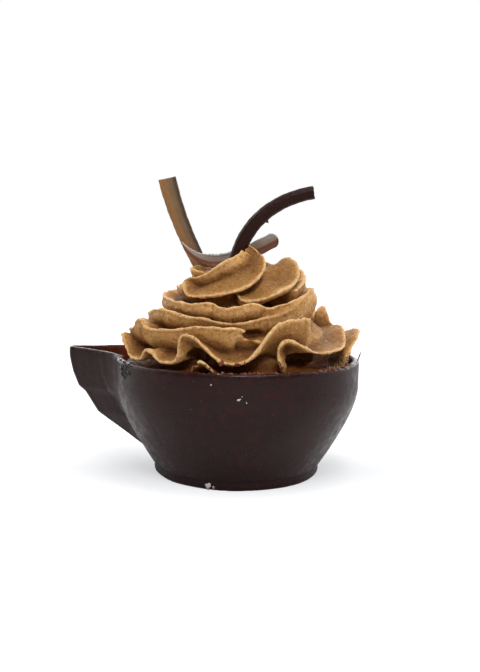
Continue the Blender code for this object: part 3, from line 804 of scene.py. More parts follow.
def pore_depth(points, normals, sizes):
    """How deep burst bubbles dent each point: round bowls of 0.2 to 0.6 mm at seeded places."""
    rng = np.random.default_rng(11)
    shown = np.flatnonzero((points[:, 2] > FILL_LEVEL) & (normals[:, 2] > -0.5))
    centres = points[rng.choice(shown, sizes.pores)]
    radii = 0.16 * MM + 0.34 * MM * rng.random(sizes.pores) ** 3
    centres = np.concatenate([centres, np.array([bubble[:3] for bubble in BUBBLES]) * MM])
    radii = np.concatenate([radii, np.array([bubble[3] for bubble in BUBBLES]) * MM])
    depth = np.zeros(len(points))
    for centre, radius in zip(centres, radii):
        near = np.flatnonzero(np.abs(points - centre).max(axis=1) < 1.5 * radius)
        away = np.linalg.norm(points[near] - centre, axis=1) / radius
        depth[near] = np.maximum(depth[near], 0.8 * radius * np.sqrt(np.clip(1.0 - away ** 2, 0, 1)))
    return depth


def grown_together(sizes, cup_sizes):
    """Core and frills joined and rebuilt as one solid, with the hollows cut out of it."""
    parts = [closed_grid("core", core_grid(cup_sizes))]
    for seed, (name, frill) in enumerate(FRILLS.items()):
        grid, closed = frill_grid(frill, sizes.lip, seed)
        parts.append(closed_grid(name, grid, closed, inward=True))
    with bpy.context.temp_override(active_object=parts[0], selected_editable_objects=parts):
        bpy.ops.object.join()
    swirl = parts[0]
    swirl.name = "mousse_swirl"
    rebuilt(swirl, sizes.grain, 0)
    for hollow in HOLLOWS:
        combine(swirl, "DIFFERENCE", pocket(hollow), "MANIFOLD")
    move_points(swirl, softened(points_of(swirl), edges_of(swirl), 3))
    return swirl


def build_mousse_swirl(sizes, cup_sizes):
    """The mousse, its faces rolling in and out and pitted with burst bubbles, and thinned.

    Relief is how far a point stands out of what is near it, and hollow how far that stands out
    of what is round it: lips are above 0 and folds below.
    """
    swirl = grown_together(sizes, cup_sizes)
    points = points_of(swirl)
    normals = normals_of(swirl)
    edges = edges_of(swirl)
    blurred = softened(points, edges, 50)
    relief = ((points - blurred) * normals).sum(axis=1) / (0.5 * MM)
    wide = softened(blurred, edges, 120)
    hollow = ((blurred - wide) * normals).sum(axis=1) / (0.8 * MM)
    roll = sizes.unevenness * (ripple(points, 4.5 * MM, 1) + 0.4 * ripple(points, 1.8 * MM, 2)
                               + 0.22 * ripple(points, 0.9 * MM, 7))
    pore = pore_depth(points, normals, sizes)
    move_points(swirl, points + normals * (roll - pore)[:, None])
    # The mousse material paints lips and rounded parts lighter, a painted highlight, and folds and
    # pits darker, painted shade, from these three.
    set_attribute(swirl, "relief", relief.clip(-1.5, 1.5))
    set_attribute(swirl, "hollow", hollow.clip(-1.5, 1.5))
    set_attribute(swirl, "pore", smoothstep(pore / (0.25 * MM)))
    thinned(swirl, sizes.triangles)
    return swirl


# The curls: shaved chocolate, one rolled into a tube and two left as strips

CURL_RIGHT = np.array([(-1.0, -0.5, 60.0), (0.6, -0.5, 70.0), (8.0, -1.0, 78.3),
                       (20.9, -1.5, 80.6)]) * MM
CURL_LEFT = np.array([(-10.8, 6.5, 58.5), (-15.6, 6.5, 67.0), (-19.3, 5.5, 76.0),
                      (-21.2, 4.0, 84.6)]) * MM
CURL_LOW = np.array([(-16.8, 0.5, 66.0), (-10.0, 2.5, 57.3), (-2.0, 6.0, 60.8),
                     (11.3, 5.5, 67.9)]) * MM


def bezier(controls, t):
    """Points along a cubic Bezier curve with four control points, at each t from 0 to 1."""
    a, b, c, d = controls
    t = t[:, None]
    return (1 - t) ** 3 * a + 3 * t * (1 - t) ** 2 * b + 3 * t ** 2 * (1 - t) * c + t ** 3 * d


def sweep_axes(path, across):
    """Two directions square to a path at each of its points, the first along across."""
    along = unit(np.gradient(path, axis=0))
    first = unit(across - (along @ across)[:, None] * along)
    return first, np.cross(along, first)


def swept(path, across, sections):
    """Sections, a rows x sides x 2 array, set square to a path: p + x first + y second."""
    first, second = sweep_axes(path, across)
    return (path[:, None] + first[:, None] * sections[..., :1]
            + second[:, None] * sections[..., 1:])


TUBE_ROWS = 150
TUBE_SIDES = 56
TUBE_END = np.array([1.0, 0.999, 0.995, 0.97, 0.94, 0.92, 0.90, 0.90])
TUBE_SHRINK = np.array([0.94, 0.80, 0.66, 0.60, 0.52, 0.40, 0.22, 0.06])
TUBE_DENT = np.array([0.0, 0.02, 0.12, 0.5, 1.1, 1.5, 1.7, 1.8]) * MM
TUBE_TEAR = 0.07 * MM * np.array([0.1, 0.3, 0.7, 1.0, 1.0, 0.9])


def tube_radius(sizes, t, turn):
    """The tube's radius at each t along it and each turn round it, and its place on the sheet.

    The radius changes evenly, and steps where the rolled sheet's outer edge ends. It is flat
    along a few lines where the knife bent it. A nub sticks out of one side half way up.
    """
    radius = sizes.tube_radius + (sizes.tube_end_radius - sizes.tube_radius) * t
    seam = (turn - 2.1 - 0.7 * t) % (2.0 * np.pi) / (2.0 * np.pi)
    facets = 0.02 * np.sin(5.0 * turn + 2.0 * t) + 0.012 * np.sin(11.0 * turn)
    rough = 0.012 * np.sin(37.0 * t + 3.0 * turn) + 0.01 * np.sin(90.0 * t + 1.7)
    nub = np.exp(-((t - 0.53) / 0.014) ** 2 - ((turn - 5.15) / 0.30) ** 2)
    return radius * (0.94 + 0.10 * (1.0 - seam) + facets + rough) + 1.0 * MM * nub, seam


def build_tube(sizes):
    """A curl rolled tight into a tube. Its torn open end turns in to a dent in the middle."""
    t = np.linspace(0.0, 1.0, TUBE_ROWS)
    turn = np.linspace(0.0, 2.0 * np.pi, TUBE_SIDES, endpoint=False)
    radius, seam = tube_radius(sizes, t[:, None], turn)
    radius = np.concatenate([radius, TUBE_SHRINK[:, None] * radius[-1]])
    sections = radius[..., None] * np.stack([np.cos(turn), np.sin(turn)], axis=-1)
    sideways = np.array([0.0, 1.0, 0.0])
    path = bezier(CURL_RIGHT, t)
    grid = swept(np.concatenate([path, bezier(CURL_RIGHT, TUBE_END)]), sideways, sections)
    along = unit(path[-1] - path[-2])
    first, second = (axes[-1] for axes in sweep_axes(path, sideways))
    end = sections[TUBE_ROWS:]
    grid[TUBE_ROWS:] = (path[-1] + end[..., :1] * first + end[..., 1:] * second
                        - TUBE_DENT[:, None, None] * along)
    ragged = np.sin(3.0 * turn + 0.4) + 0.6 * np.sin(8.0 * turn)
    torn = slice(TUBE_ROWS - 4, TUBE_ROWS + 2)
    grid[torn] += ragged[None, :, None] * TUBE_TEAR[:, None, None] * along
    tube = closed_grid("curl_tube", grid)
    set_attribute(tube, "across",
                  np.concatenate([seam, np.zeros((len(TUBE_END), TUBE_SIDES))]).ravel())
    return tube


def strip_sections(t, width, bend, roll, thickness):
    """Sections of a shaved strip: a line of even steps whose direction turns, made thick.

    The direction turns by bend over the whole width, and by roll more over its last third, so
    that edge curls over. Both faces stand half a thickness off the line, and the edges are
    round.
    """
    s = np.linspace(0.0, 1.0, 40)[None, :]
    turn = -0.5 * bend + bend * s + roll[:, None] * smoothstep((s - 0.62) / 0.38) * (s - 0.62) * 2.0
    step = width[:, None] / 39.0
    x = np.cumsum(np.cos(turn) * step, axis=1)
    y = np.cumsum(np.sin(turn) * step, axis=1)
    x = x - x.mean(axis=1, keepdims=True)
    y = y - y.mean(axis=1, keepdims=True)
    taper = np.sqrt(np.clip(1.0 - np.abs(2.0 * s - 1.0) ** 14, 0.02, 1.0))
    half = 0.5 * thickness[:, None] * taper
    upper = np.stack([x - half * np.sin(turn), y + half * np.cos(turn)], axis=-1)
    lower = np.stack([x + half * np.sin(turn), y - half * np.cos(turn)], axis=-1)
    across = np.concatenate([s + 0.0 * t[:, None], (s + 0.0 * t[:, None])[:, ::-1]], axis=1)
    return np.concatenate([upper, lower[:, ::-1]], axis=1), across


def build_left_strip(sizes):
    """The upright strip: thin and bright on one side, rolled over on the other."""
    t = np.linspace(0.0, 1.0, 120)
    width = sizes.strip_width * (0.80 + 0.22 * t + 0.012 * np.sin(31.0 * t) + 0.01 * np.sin(77.0 * t))
    thickness = sizes.sheet * (1.0 - 0.25 * smoothstep((t - 0.96) / 0.04))
    sections, across = strip_sections(t, width, 0.9, 1.3 + 0.8 * t, thickness)
    grid = swept(bezier(CURL_LEFT, t), np.array([1.0, 0.0, 0.0]), sections)
    strip = closed_grid("curl_strip", grid, inward=True)
    set_attribute(strip, "across", across.ravel())
    return strip


def build_low_strip(sizes):
    """The lying strip: a pointed, twisted left end and a broad right end cut round."""
    t = np.linspace(0.0, 1.0, 160)
    broad = np.interp(t, (0.0, 0.10, 0.35, 0.9, 1.0), (0.10, 0.36, 1.0, 1.16, 1.10))
    end = np.sqrt(np.clip(1.0 - ((t - 0.955) / 0.0465).clip(0.0, 1.0) ** 2, 0.03, 1.0))
    ragged = 1.0 + 0.03 * np.sin(53.0 * t) + 0.05 * np.sin(131.0 * t) * (t < 0.5)
    width = sizes.low_width * broad * end * ragged
    thickness = sizes.sheet * np.minimum(1.0, 0.35 + 1.6 * t) * (0.5 + 0.5 * end)
    sections, across = strip_sections(t, width, 1.5, 0.5 + 0.0 * t, thickness)
    grid = swept(bezier(CURL_LOW, t), np.array([0.0, 0.0, 1.0]), sections)
    strip = closed_grid("curl_low_strip", grid, inward=True)
    set_attribute(strip, "across", across.ravel())
    return strip


# Crumbs

# Stretches of the rim, their middle and width: its rough part, its front, and its froth
ROUGH_STRETCH = (322.0, 34.0)
FRONT_STRETCH = (272.0, 52.0)
FROTH_STRETCH = (333.0, 36.0)
# Angle of the corner between the rim and the handle's near side
HANDLE_CORNER = 209.0
# Pale specks on the cup where white glints show, painted highlights, in millimetres: x, y, z and size
SPECKS = ((-7.8, -24.2, 1.3, 1.5), (-6.2, -24.2, 0.9, 1.1), (-6.5, -34.4, 30.2, 0.6),
          (-11.7, -33.0, 23.6, 0.5), (0.4, -35.0, 26.7, 0.9), (1.2, -34.9, 27.5, 0.6),
          (2.4, -34.9, 25.9, 0.4))


def crumb_forms(count, size, seed):
    """Broken bits: a ball of 40 points, squashed, bent out of round and turned for each crumb."""
    rng = np.random.default_rng(seed)
    ring = np.arange(8) * np.pi / 4.0
    tiers = np.radians([-60.0, -25.0, 0.0, 25.0, 60.0])
    ball = np.stack([np.cos(tiers)[:, None] * np.cos(ring), np.cos(tiers)[:, None] * np.sin(ring),
                     np.sin(tiers)[:, None] + 0.0 * ring], axis=-1)
    scale = size * np.exp(rng.normal(0.0, 0.35, (count, 1, 1, 1))) * 0.5
    shape = rng.uniform(0.45, 1.25, (count, 1, 1, 3))
    bumps = 1.0 + 0.22 * rng.normal(size=(count, 5, 8, 1))
    turns, _ = np.linalg.qr(rng.normal(size=(count, 3, 3)))
    turns *= np.linalg.det(turns)[:, None, None]
    forms = ball[None] * bumps * shape * scale
    return np.einsum("nij,nrsj->nrsi", turns, forms), rng


def scatter(name, forms, centres):
    """One object of many crumbs: each form's points moved to its centre."""
    count, rows, sides = forms.shape[:3]
    points = (forms + centres[:, None, None]).reshape(-1, 3)
    faces = grid_faces(rows, sides)
    ring = np.arange(sides)
    ends = np.concatenate([ring[::-1][None], (rows - 1) * sides + ring[None]])
    offset = (np.arange(count) * rows * sides)[:, None, None]
    caps = (ends[None] + offset).reshape(-1, sides)
    return new_mesh(name, points, (faces[None] + offset).reshape(-1, 4), caps)


def dropped(obj, places, sink):
    """Places moved to the nearest point of a surface and a little into it."""
    found = [obj.closest_point_on_mesh(Vector(place)) for place in places]
    return np.array([hit[1] - hit[2] * sink for hit in found])


def spread(rng, count, stretch):
    """Random angles over a stretch, a middle and a width in degrees, thickest in its middle."""
    return stretch[0] + stretch[1] * (rng.beta(2.0, 2.0, count) - 0.5)


def build_rim_crumbs(sizes, swirl, shell):
    """Crumbs caught along the front of the rim, on its rough stretch and on the mousse there."""
    count = sizes.rim_count
    forms, rng = crumb_forms(count, sizes.crumb, 21)
    rough = spread(rng, count, ROUGH_STRETCH)
    front = spread(rng, count, FRONT_STRETCH)
    angle = np.where(rng.random(count) < 0.5, rough, front)
    radius = RIM_RADIUS - rng.uniform(0.4, 3.4, count) * MM
    height = RIM_HEIGHT + rng.uniform(0.0, 1.2, count) * MM
    places = cylindrical(radius, angle, height)
    on_rim = radius > RIM_RADIUS - 2.0 * MM
    places = np.where(on_rim[:, None], dropped(shell, places, 0.1 * MM),
                      dropped(swirl, places, 0.1 * MM))
    return scatter("rim_crumbs", forms, places)


def build_curl_crumbs(sizes, swirl):
    """Crumbs that fell from the curls onto the mousse round their feet."""
    count = sizes.curl_count
    forms, rng = crumb_forms(count, sizes.crumb, 22)
    share = rng.random(count)
    places = bezier(CURL_LOW, 0.25 + 0.35 * share)
    places = places + rng.normal(0.0, 1.0, (count, 3)) * np.array([0.6, 1.2, 0.5]) * MM
    places[:, 1] -= 2.0 * MM
    places[:, 2] -= 1.5 * MM
    return scatter("curl_crumbs", forms, dropped(swirl, places, 0.1 * MM))


def build_froth(sizes, swirl):
    """Bubbles of froth between the mousse and the rim on the right: round balls."""
    count = sizes.froth_count
    forms, rng = crumb_forms(count, 1.0, 24)
    forms = 0.35 * MM * unit(forms) * rng.uniform(0.5, 1.2, (count, 1, 1, 1))
    angle = spread(rng, count, FROTH_STRETCH)
    places = cylindrical(RIM_RADIUS - rng.uniform(2.6, 6.0, count) * MM, angle,
                         RIM_HEIGHT + rng.uniform(0.0, 1.5, count) * MM)
    return scatter("rim_froth", forms, dropped(swirl, places, 0.05 * MM))


def build_smears(sizes, shell):
    """Glossy lumps of chocolate smeared where the rim meets the handle, and one at the right.

    The one at the right is drawn up into a spike.
    """
    count = sizes.smear_count
    forms, rng = crumb_forms(count, 1.5 * sizes.crumb, 25)
    angle = HANDLE_CORNER + 3.5 * rng.normal(size=count)
    places = cylindrical(RIM_RADIUS + rng.uniform(-2.5, 2.5, count) * MM, angle,
                         RIM_HEIGHT - rng.uniform(-1.0, 4.0, count) * MM)
    places = dropped(shell, places, 0.1 * MM)
    forms[0] = forms[0] * 0.6 + np.linspace(-1.0, 2.2, 5)[:, None, None] * [0.35 * MM, 0.0, MM]
    places[0] = (RIM_RADIUS - 0.9 * MM, -6.0 * MM, RIM_HEIGHT - 0.2 * MM)
    return scatter("rim_smears", forms, places)


def build_specks(shell):
    """Pale specks on the front of the cup, and a chip on its foot, set where white glints show:
    painted highlights.
    """
    specks = np.array(SPECKS) * MM
    forms, _ = crumb_forms(len(specks), 1.0, 23)
    return scatter("cup_specks", forms * specks[:, 3, None, None, None],
                   dropped(shell, specks[:, :3], 0.08 * MM))


# Materials

# Real sizes of what their patterns draw. Foam, dust and fibre are finer than this in truth, and
# as coarse as they need to be to show.
CLOUD = 3.5 * MM
LUMP = 1.3 * MM
SPECK = 0.9 * MM
FLECK = 0.7 * MM
FOAM = 0.45 * MM
PATCH = 9.0 * MM
SCUFF = 2.4 * MM
GRAIN = 0.8 * MM
DUST = 0.5 * MM
STREAK = 1.4 * MM
GRIT = 0.7 * MM
FIBRE = 0.8 * MM
# Heights between which the mousse is soaked with wet chocolate
SOAKED_TOP = 33.9 * MM
SOAKED_FULL = 32.6 * MM


def new_material(name):
    """A material, its node tree with nothing in it, and the place on its piece."""
    material = bpy.data.materials.new(name)
    material.use_nodes = True
    tree = material.node_tree
    tree.nodes.clear()
    return material, tree, add_node(tree, "TexCoord").outputs["Object"]


def layer(tree, below, above, value, start, end, share=1.0, blend="MIX"):
    """A colour over another: its share grows from none to share as value goes start to end."""
    amount = add_node(tree, "MapRange", value=value, from_min=start, from_max=end, to_max=share)
    return add_node(tree, "Mix", data_type="RGBA", blend_type=blend, factor_float=amount,
                    a_color=below, b_color=above)


def aerated_mousse(colours):
    """Whipped chocolate mousse: soft, fine-pored foam.

    Light goes a millimetre or two into it, which softens its shade and lightens thin lips. Lips and
    rounded parts are also painted lighter, a painted highlight, and deep folds and hollows painted
    darker, painted shade. Fine bubbles pit it, their pits painted darker as painted shade, and cocoa
    specks it.
    """
    material, tree, place = new_material("aerated_chocolate_mousse")
    relief, hollow, pore = (add_node(tree, "Attribute", attribute_name=name).outputs["Fac"]
                            for name in ("relief", "hollow", "pore"))
    cloud = add_node(tree, "TexNoise", vector=place, scale=1.0 / CLOUD, detail=3.0)
    speck = add_node(tree, "TexNoise", vector=place, scale=1.0 / SPECK, detail=4.0)
    fleck = add_node(tree, "TexNoise", vector=place, scale=1.0 / FLECK, detail=2.0)
    height = add_node(tree, "SeparateXYZ", vector=place).outputs["Z"]
    # Painted shade: in folds and hollows, where hollow and relief fall under 0, the colour darkens
    # towards the darker fold colour.
    shade = layer(tree, colours.mousse_face, colours.mousse_fold_shade, hollow, 0.35, -0.50)
    # Painted highlight: on lips and rounded parts, where hollow and relief rise over 0, the colour
    # lightens towards the lighter lip colour.
    shade = layer(tree, shade, colours.mousse_lip_highlight, hollow, 0.1, 0.9, 0.7)
    shade = layer(tree, shade, colours.mousse_fold_shade, relief, -0.15, -0.9, 0.7)
    shade = layer(tree, shade, colours.mousse_lip_highlight, relief, 0.1, 0.9, 0.8)
    shade = layer(tree, shade, (0.86, 0.74, 0.60), cloud, 0.35, 0.7, 0.3, "MULTIPLY")
    shade = layer(tree, shade, (0.50, 0.36, 0.26), speck, 0.50, 0.72, 0.8, "MULTIPLY")
    shade = layer(tree, shade, (1.40, 1.42, 1.40), fleck, 0.56, 0.72, 0.8, "MULTIPLY")
    shade = layer(tree, shade, colours.filling, height, SOAKED_TOP, SOAKED_FULL)
    # Painted shade: the pits of burst bubbles are darkened for the shade inside them.
    shade = layer(tree, shade, (0.30, 0.20, 0.13), pore, 0.2, 1.0, 0.75, "MULTIPLY")
    wet = add_node(tree, "MapRange", value=fleck, from_min=0.60, from_max=0.70)
    foam = add_node(tree, "TexNoise", vector=place, scale=1.0 / FOAM, detail=4.0)
    foam = add_node(tree, "Bump", height=foam, distance=0.09 * MM)
    lumps = add_node(tree, "TexNoise", vector=place, scale=1.0 / LUMP, detail=2.0)
    shader = add_node(
        tree, "BsdfPrincipled", base_color=shade, ior=1.34,
        roughness=add_node(tree, "MapRange", value=wet, to_min=0.60, to_max=0.30),
        specular_ior_level=add_node(tree, "MapRange", value=wet, to_min=0.15, to_max=0.80),
        normal=add_node(tree, "Bump", height=lumps, distance=0.16 * MM, normal=foam),
        subsurface_weight=0.22, subsurface_radius=(1.0, 0.5, 0.25), subsurface_scale=1.6 * MM)
    add_node(tree, "OutputMaterial", surface=shader)
    return material


def tempered_chocolate(name, outside, inside):
    """Tempered dark chocolate, moulded: cocoa butter gives it a smooth, half-gloss skin.

    Faces that touched the mould shine; inner faces and edges are duller, and are painted lighter and
    redder for the light that falls on the thin inner wall and shines through it, which is painted
    light. A little dust and bloom lies on it.
    """
    material, tree, place = new_material(name)
    within = add_node(tree, "Attribute", attribute_name="inside").outputs["Fac"]
    patch = add_node(tree, "TexNoise", vector=place, scale=1.0 / PATCH, detail=3.0)
    smear = add_node(tree, "TexNoise", vector=place, scale=1.0 / SCUFF, detail=5.0)
    dust = add_node(tree, "TexNoise", vector=place, scale=1.0 / DUST, detail=1.0)
    # Painted light: inner faces take the lighter, redder inside tone.
    shade = add_node(tree, "Mix", data_type="RGBA", factor_float=within, a_color=outside,
                     b_color=inside)
    shade = layer(tree, shade, (1.5, 1.25, 1.15), patch, 0.35, 0.75, 0.35, "MULTIPLY")
    shade = layer(tree, shade, (2.2, 1.55, 1.35), smear, 0.50, 0.72, 0.7, "MULTIPLY")
    shade = layer(tree, shade, linear("#7c6c61"), dust, 0.74, 0.80, 0.4)
    rough = add_node(tree, "MapRange", value=smear, from_min=0.35, from_max=0.65, to_min=0.24,
                     to_max=0.46)
    fine = add_node(tree, "TexNoise", vector=place, scale=1.0 / GRAIN, detail=4.0)
    fine = add_node(tree, "Bump", height=fine, distance=0.03 * MM)
    rough = add_node(tree, "Math", operation="MULTIPLY_ADD", value=within, value_001=0.25,
                     value_002=rough)
    sheen = add_node(tree, "MapRange", value=within, from_max=0.7, to_min=0.5, to_max=0.12)
    shader = add_node(
        tree, "BsdfPrincipled", base_color=shade, roughness=rough, specular_ior_level=sheen,
        ior=1.28, normal=add_node(tree, "Bump", height=patch, distance=0.10 * MM, normal=fine))
    add_node(tree, "OutputMaterial", surface=shader)
    return material


def shaved_chocolate(name, shades, glow, roughness):
    """Chocolate shaved into a curl: its knife face is satin with fine scratches along it.

    Across the strip it goes from the first shade over the second to the third. On the upright strip
    the first is a painted glow, as if lit through the thin side, and the second a painted highlight;
    on the lying strip the third, along its upper edge, is a painted highlight. Where thin, light also
    comes through.
    """
    material, tree, place = new_material(name)
    across = add_node(tree, "Attribute", attribute_name="across").outputs["Fac"]
    streak = add_node(tree, "TexNoise", vector=place, scale=1.0 / STREAK, detail=3.0)
    # Painted glow and painted highlight: the upright strip's thin side is coloured as lit through,
    # and the band after it as a highlight.
    shade = layer(tree, shades[0], shades[1], across, 0.36, 0.52)
    # On the lying strip the third colour, along its upper edge, is a painted highlight.
    shade = layer(tree, shade, shades[2], across, 0.62, 0.80)
    shade = layer(tree, shade, (1.35, 1.25, 1.15), streak, 0.35, 0.7, 0.5, "MULTIPLY")
    shader = add_node(
        tree, "BsdfPrincipled", base_color=shade, roughness=roughness, ior=1.24,
        normal=add_node(tree, "Bump", height=streak, distance=0.05 * MM),
        subsurface_weight=glow, subsurface_radius=(1.0, 0.35, 0.12), subsurface_scale=1.0 * MM)
    add_node(tree, "OutputMaterial", surface=shader)
    return material


def broken_chocolate(colour):
    """Crumbs of broken chocolate: rough faces with a few bright ones."""
    material, tree, place = new_material("broken_chocolate")
    grit = add_node(tree, "TexNoise", vector=place, scale=1.0 / GRIT, detail=2.0)
    tint = layer(tree, (0.35, 0.30, 0.28), (1.8, 1.6, 1.4), grit, 0.3, 0.7)
    shade = add_node(tree, "Mix", data_type="RGBA", blend_type="MULTIPLY", factor_float=1.0,
                     a_color=colour, b_color=tint)
    rough = add_node(tree, "MapRange", value=grit, from_min=0.35, from_max=0.65, to_min=0.15,
                     to_max=0.6)
    shader = add_node(tree, "BsdfPrincipled", base_color=shade, roughness=rough)
    add_node(tree, "OutputMaterial", surface=shader)
    return material


def painted_glint_specks():
    """Painted highlights where white glints show: matt and pale."""
    material, tree, _ = new_material("bloomed_cocoa_butter")
    shader = add_node(tree, "BsdfPrincipled", base_color=linear("#cec8c2"), roughness=0.5)
    add_node(tree, "OutputMaterial", surface=shader)
    return material


def glossy_lumps(name, colour):
    """Wet chocolate or froth: a smooth, bright skin, so each lump carries a glint."""
    material, tree, _ = new_material(name)
    shader = add_node(tree, "BsdfPrincipled", base_color=colour, roughness=0.12)
    add_node(tree, "OutputMaterial", surface=shader)
    return material


def seamless_paper():
    """Matt white background paper, lit so that it looks white and throws little light back.

    Seen by the camera it glows, least in an oval round the cup's foot and more further out; the
    dimmer oval, longest to the cup's sides, is a painted shadow.
    """
    material, tree, place = new_material("white_background_paper")
    fibre = add_node(tree, "TexNoise", vector=place, scale=1.0 / FIBRE, detail=2.0)
    seen = add_node(tree, "LightPath").outputs["Is Camera Ray"]
    paper = add_node(tree, "Mix", data_type="RGBA", factor_float=fibre,
                     a_color=linear("#e4e4e5"), b_color=linear("#e9e9e9"))
    # Painted shadow: the camera's glow is lowest in an oval round the foot, stretched out to the
    # sides.
    oval = add_node(tree, "VectorMath", operation="MULTIPLY", vector=place,
                    vector_001=(1.0, 3.0, 1.0))
    away = add_node(tree, "VectorMath", operation="LENGTH", vector=oval)
    level = add_node(tree, "MapRange", value=away, from_min=0.03, from_max=0.11, to_min=0.56,
                     to_max=0.95)
    paper = add_node(tree, "Mix", data_type="RGBA", factor_float=seen, a_color=paper,
                     b_color=linear("#959594"))
    glow = add_node(tree, "Math", operation="MULTIPLY", value=seen, value_001=level)
    shader = add_node(tree, "BsdfPrincipled", base_color=paper, roughness=0.9,
                      specular_ior_level=0.1, emission_color=linear("#fbfcff"),
                      emission_strength=glow)
    add_node(tree, "OutputMaterial", surface=shader)
    return material


def piece_materials(colours):
    """Every piece's material by the piece's name."""
    broken = broken_chocolate(colours.crumb)
    return {
        "cup_shell": tempered_chocolate("tempered_dark_chocolate", colours.cup_outside,
                                        colours.cup_inside),
        "mousse_swirl": aerated_mousse(colours),
        "curl_tube": shaved_chocolate("rolled_dark_chocolate", 3 * [colours.tube], 0.0, 0.50),
        # Upright strip: a painted glow on its thin side and a painted highlight in its middle band.
        "curl_strip": shaved_chocolate(
            "shaved_milk_chocolate",
            (colours.strip_left, colours.strip_middle, colours.strip_right), 0.25, 0.45),
        # Lying strip: a painted highlight along its upper edge.
        "curl_low_strip": shaved_chocolate(
            "shaved_bloomed_chocolate",
            (colours.low_under, colours.low_strip, colours.low_edge_highlight), 0.1, 0.34),
        "rim_crumbs": broken,
        "rim_froth": glossy_lumps("frothed_mousse", colours.froth),
        "rim_smears": glossy_lumps("smeared_dark_chocolate", colours.smear),
        "cup_specks": painted_glint_specks(),
        "curl_crumbs": broken,
    }


# The studio

KEY_PLACE = Vector((0.03, -0.32, 0.36))
TOP_PLACE = Vector((0.06, -0.10, 0.44))
BOX_SIZE = 0.14
BOX_AIM = Vector((0.0, 0.0, 0.04))
FLOOR_HALF = 6.0


def soft_box(name, place, power):
    """A square soft light at a place, turned to face the cup's rim."""
    light = bpy.data.lights.new(name, "AREA")
    light.size = BOX_SIZE
    light.energy = power
    obj = bpy.data.objects.new(name, light)
    bpy.context.scene.collection.objects.link(obj)
    obj.location = place
    obj.rotation_euler = (BOX_AIM - place).to_track_quat("-Z", "Y").to_euler()


def studio_world(sizes):
    """A bright white background behind the object, its light falling off round the sides.

    A much dimmer light comes from behind the camera, and less of both from overhead. The camera
    itself sees plain white.
    """
    world = bpy.data.worlds.new("studio")
    bpy.context.scene.world = world
    world.use_nodes = True
    tree = world.node_tree
    tree.nodes.clear()
    way = add_node(tree, "TexCoord").outputs["Generated"]
    parts = add_node(tree, "SeparateXYZ", vector=way).outputs
    back = add_node(tree, "MapRange", value=parts["Y"], from_min=-0.4, from_max=0.9,
                    to_max=sizes.back)
    front = add_node(tree, "MapRange", value=parts["Y"], from_min=0.4, from_max=-0.9,
                     to_max=sizes.front)
    both = add_node(tree, "Math", operation="ADD", value=back, value_001=front)
    overhead = add_node(tree, "MapRange", value=parts["Z"], from_min=0.35, from_max=0.95,
                        to_min=1.0, to_max=0.25)
    both = add_node(tree, "Math", operation="MULTIPLY", value=both, value_001=overhead)
    seen = add_node(tree, "LightPath").outputs["Is Camera Ray"]
    level = add_node(tree, "Mix", factor_float=seen, a_float=both, b_float=1.0)
    shine = add_node(tree, "Background", color=(1.0, 1.0, 1.0), strength=level)
    add_node(tree, "OutputWorld", surface=shine)


def build_floor():
    """A wide flat floor of white paper, just under the cup's foot."""
    corners = FLOOR_HALF * np.array([(-1.0, -1.0), (1.0, -1.0), (1.0, 1.0), (-1.0, 1.0)])
    points = np.column_stack([corners, np.full(4, -0.02 * MM)])
    floor = new_mesh("floor", points, np.array([[0, 1, 2, 3]]))
    floor.data.materials.append(seamless_paper())
    return floor


class MOUSSE_OT_cup(bpy.types.Operator):
    """Build the moulded chocolate cup with its hollow handle"""
    bl_idname = "mousse.cup"
    bl_label = "Cup"

    def execute(self, context):
        finish_piece(build_cup_shell(context.scene.mousse_cup), "cup")
        return {"FINISHED"}


class MOUSSE_OT_swirl(bpy.types.Operator):
    """Build the piped mousse"""
    bl_idname = "mousse.swirl"
    bl_label = "Mousse"

    def execute(self, context):
        scene = context.scene
        finish_piece(build_mousse_swirl(scene.mousse_swirl, scene.mousse_cup), "mousse")
        return {"FINISHED"}


class MOUSSE_OT_curls(bpy.types.Operator):
    """Build the rolled curl and the two shaved strips"""
    bl_idname = "mousse.curls"
    bl_label = "Curls"

    def execute(self, context):
        sizes = context.scene.mousse_curls
        finish_piece(build_tube(sizes), "curl_right")
        finish_piece(build_left_strip(sizes), "curl_left")
        finish_piece(build_low_strip(sizes), "curl_low")
        return {"FINISHED"}


class MOUSSE_OT_crumbs(bpy.types.Operator):
    """Scatter crumbs on the rim and at the curls' feet"""
    bl_idname = "mousse.crumbs"
    bl_label = "Crumbs"

    def execute(self, context):
        sizes = context.scene.mousse_crumbs
        swirl = bpy.data.objects["mousse_swirl"]
        shell = bpy.data.objects["cup_shell"]
        finish_piece(build_rim_crumbs(sizes, swirl, shell), smooth=False)
        finish_piece(build_curl_crumbs(sizes, swirl), smooth=False)
        finish_piece(build_froth(sizes, swirl))
        finish_piece(build_smears(sizes, shell))
        finish_piece(build_specks(shell))
        return {"FINISHED"}


class MOUSSE_OT_materials(bpy.types.Operator):
    """Give every piece its material"""
    bl_idname = "mousse.materials"
    bl_label = "Materials"

    def execute(self, context):
        for name, material in piece_materials(context.scene.mousse_colours).items():
            mesh = bpy.data.objects[name].data
            mesh.materials.clear()
            mesh.materials.append(material)
        return {"FINISHED"}


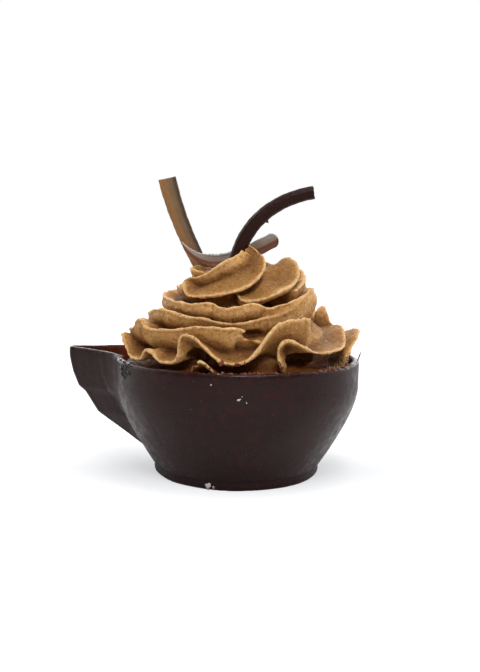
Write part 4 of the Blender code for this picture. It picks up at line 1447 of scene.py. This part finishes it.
class MOUSSE_OT_studio(bpy.types.Operator):
    """Set up the floor, the lights and the camera"""
    bl_idname = "mousse.studio"
    bl_label = "Studio"

    def execute(self, context):
        sizes = context.scene.mousse_studio
        build_floor()
        studio_world(sizes)
        soft_box("key", KEY_PLACE, sizes.key)
        soft_box("top", TOP_PLACE, sizes.top)
        camera = bpy.data.cameras.new("camera")
        camera.lens = sizes.lens
        camera.shift_x = sizes.shift
        camera.clip_start = 0.01
        obj = bpy.data.objects.new("camera", camera)
        context.scene.collection.objects.link(obj)
        tilt = Matrix.Rotation(0.5 * np.pi - sizes.pitch, 4, "X")
        place = Matrix.Translation((0.0, -sizes.distance, sizes.eye_height))
        obj.matrix_world = place @ tilt @ Matrix.Rotation(sizes.roll, 4, "Z")
        context.scene.camera = obj
        context.scene.view_settings.view_transform = "Standard"
        return {"FINISHED"}


class MOUSSE_PT_panel(bpy.types.Panel):
    """Sizes, colours and the steps in order"""
    bl_idname = "MOUSSE_PT_panel"
    bl_label = "Chocolate mousse"
    bl_space_type = "VIEW_3D"
    bl_region_type = "UI"
    bl_category = "Mousse"

    def draw(self, context):
        for name, kind in GROUPS.items():
            box = self.layout.box()
            box.label(text=name.replace("_", " "))
            for key in kind.__annotations__:
                box.prop(getattr(context.scene, name), key)
        for step in STEPS:
            self.layout.operator(step.bl_idname)


GROUPS = {"mousse_cup": CupSizes, "mousse_swirl": MousseSizes, "mousse_curls": CurlSizes,
          "mousse_crumbs": CrumbSizes, "mousse_colours": Colours, "mousse_studio": StudioSizes}
STEPS = (MOUSSE_OT_studio, MOUSSE_OT_cup, MOUSSE_OT_swirl, MOUSSE_OT_curls, MOUSSE_OT_crumbs,
         MOUSSE_OT_materials)
CLASSES = (*GROUPS.values(), *STEPS, MOUSSE_PT_panel)


def register():
    """Registers the classes and hangs the property groups on the scene."""
    for kind in CLASSES:
        bpy.utils.register_class(kind)
    for name, kind in GROUPS.items():
        setattr(bpy.types.Scene, name, bpy.props.PointerProperty(type=kind))


def unregister():
    """Takes the property groups and classes away again."""
    for name in GROUPS:
        delattr(bpy.types.Scene, name)
    for kind in reversed(CLASSES):
        bpy.utils.unregister_class(kind)


def main():
    """Builds everything in order."""
    register()
    bpy.ops.mousse.studio()
    bpy.ops.mousse.cup()
    bpy.ops.mousse.swirl()
    bpy.ops.mousse.curls()
    bpy.ops.mousse.crumbs()
    bpy.ops.mousse.materials()


if __name__ == "__main__":
    main()
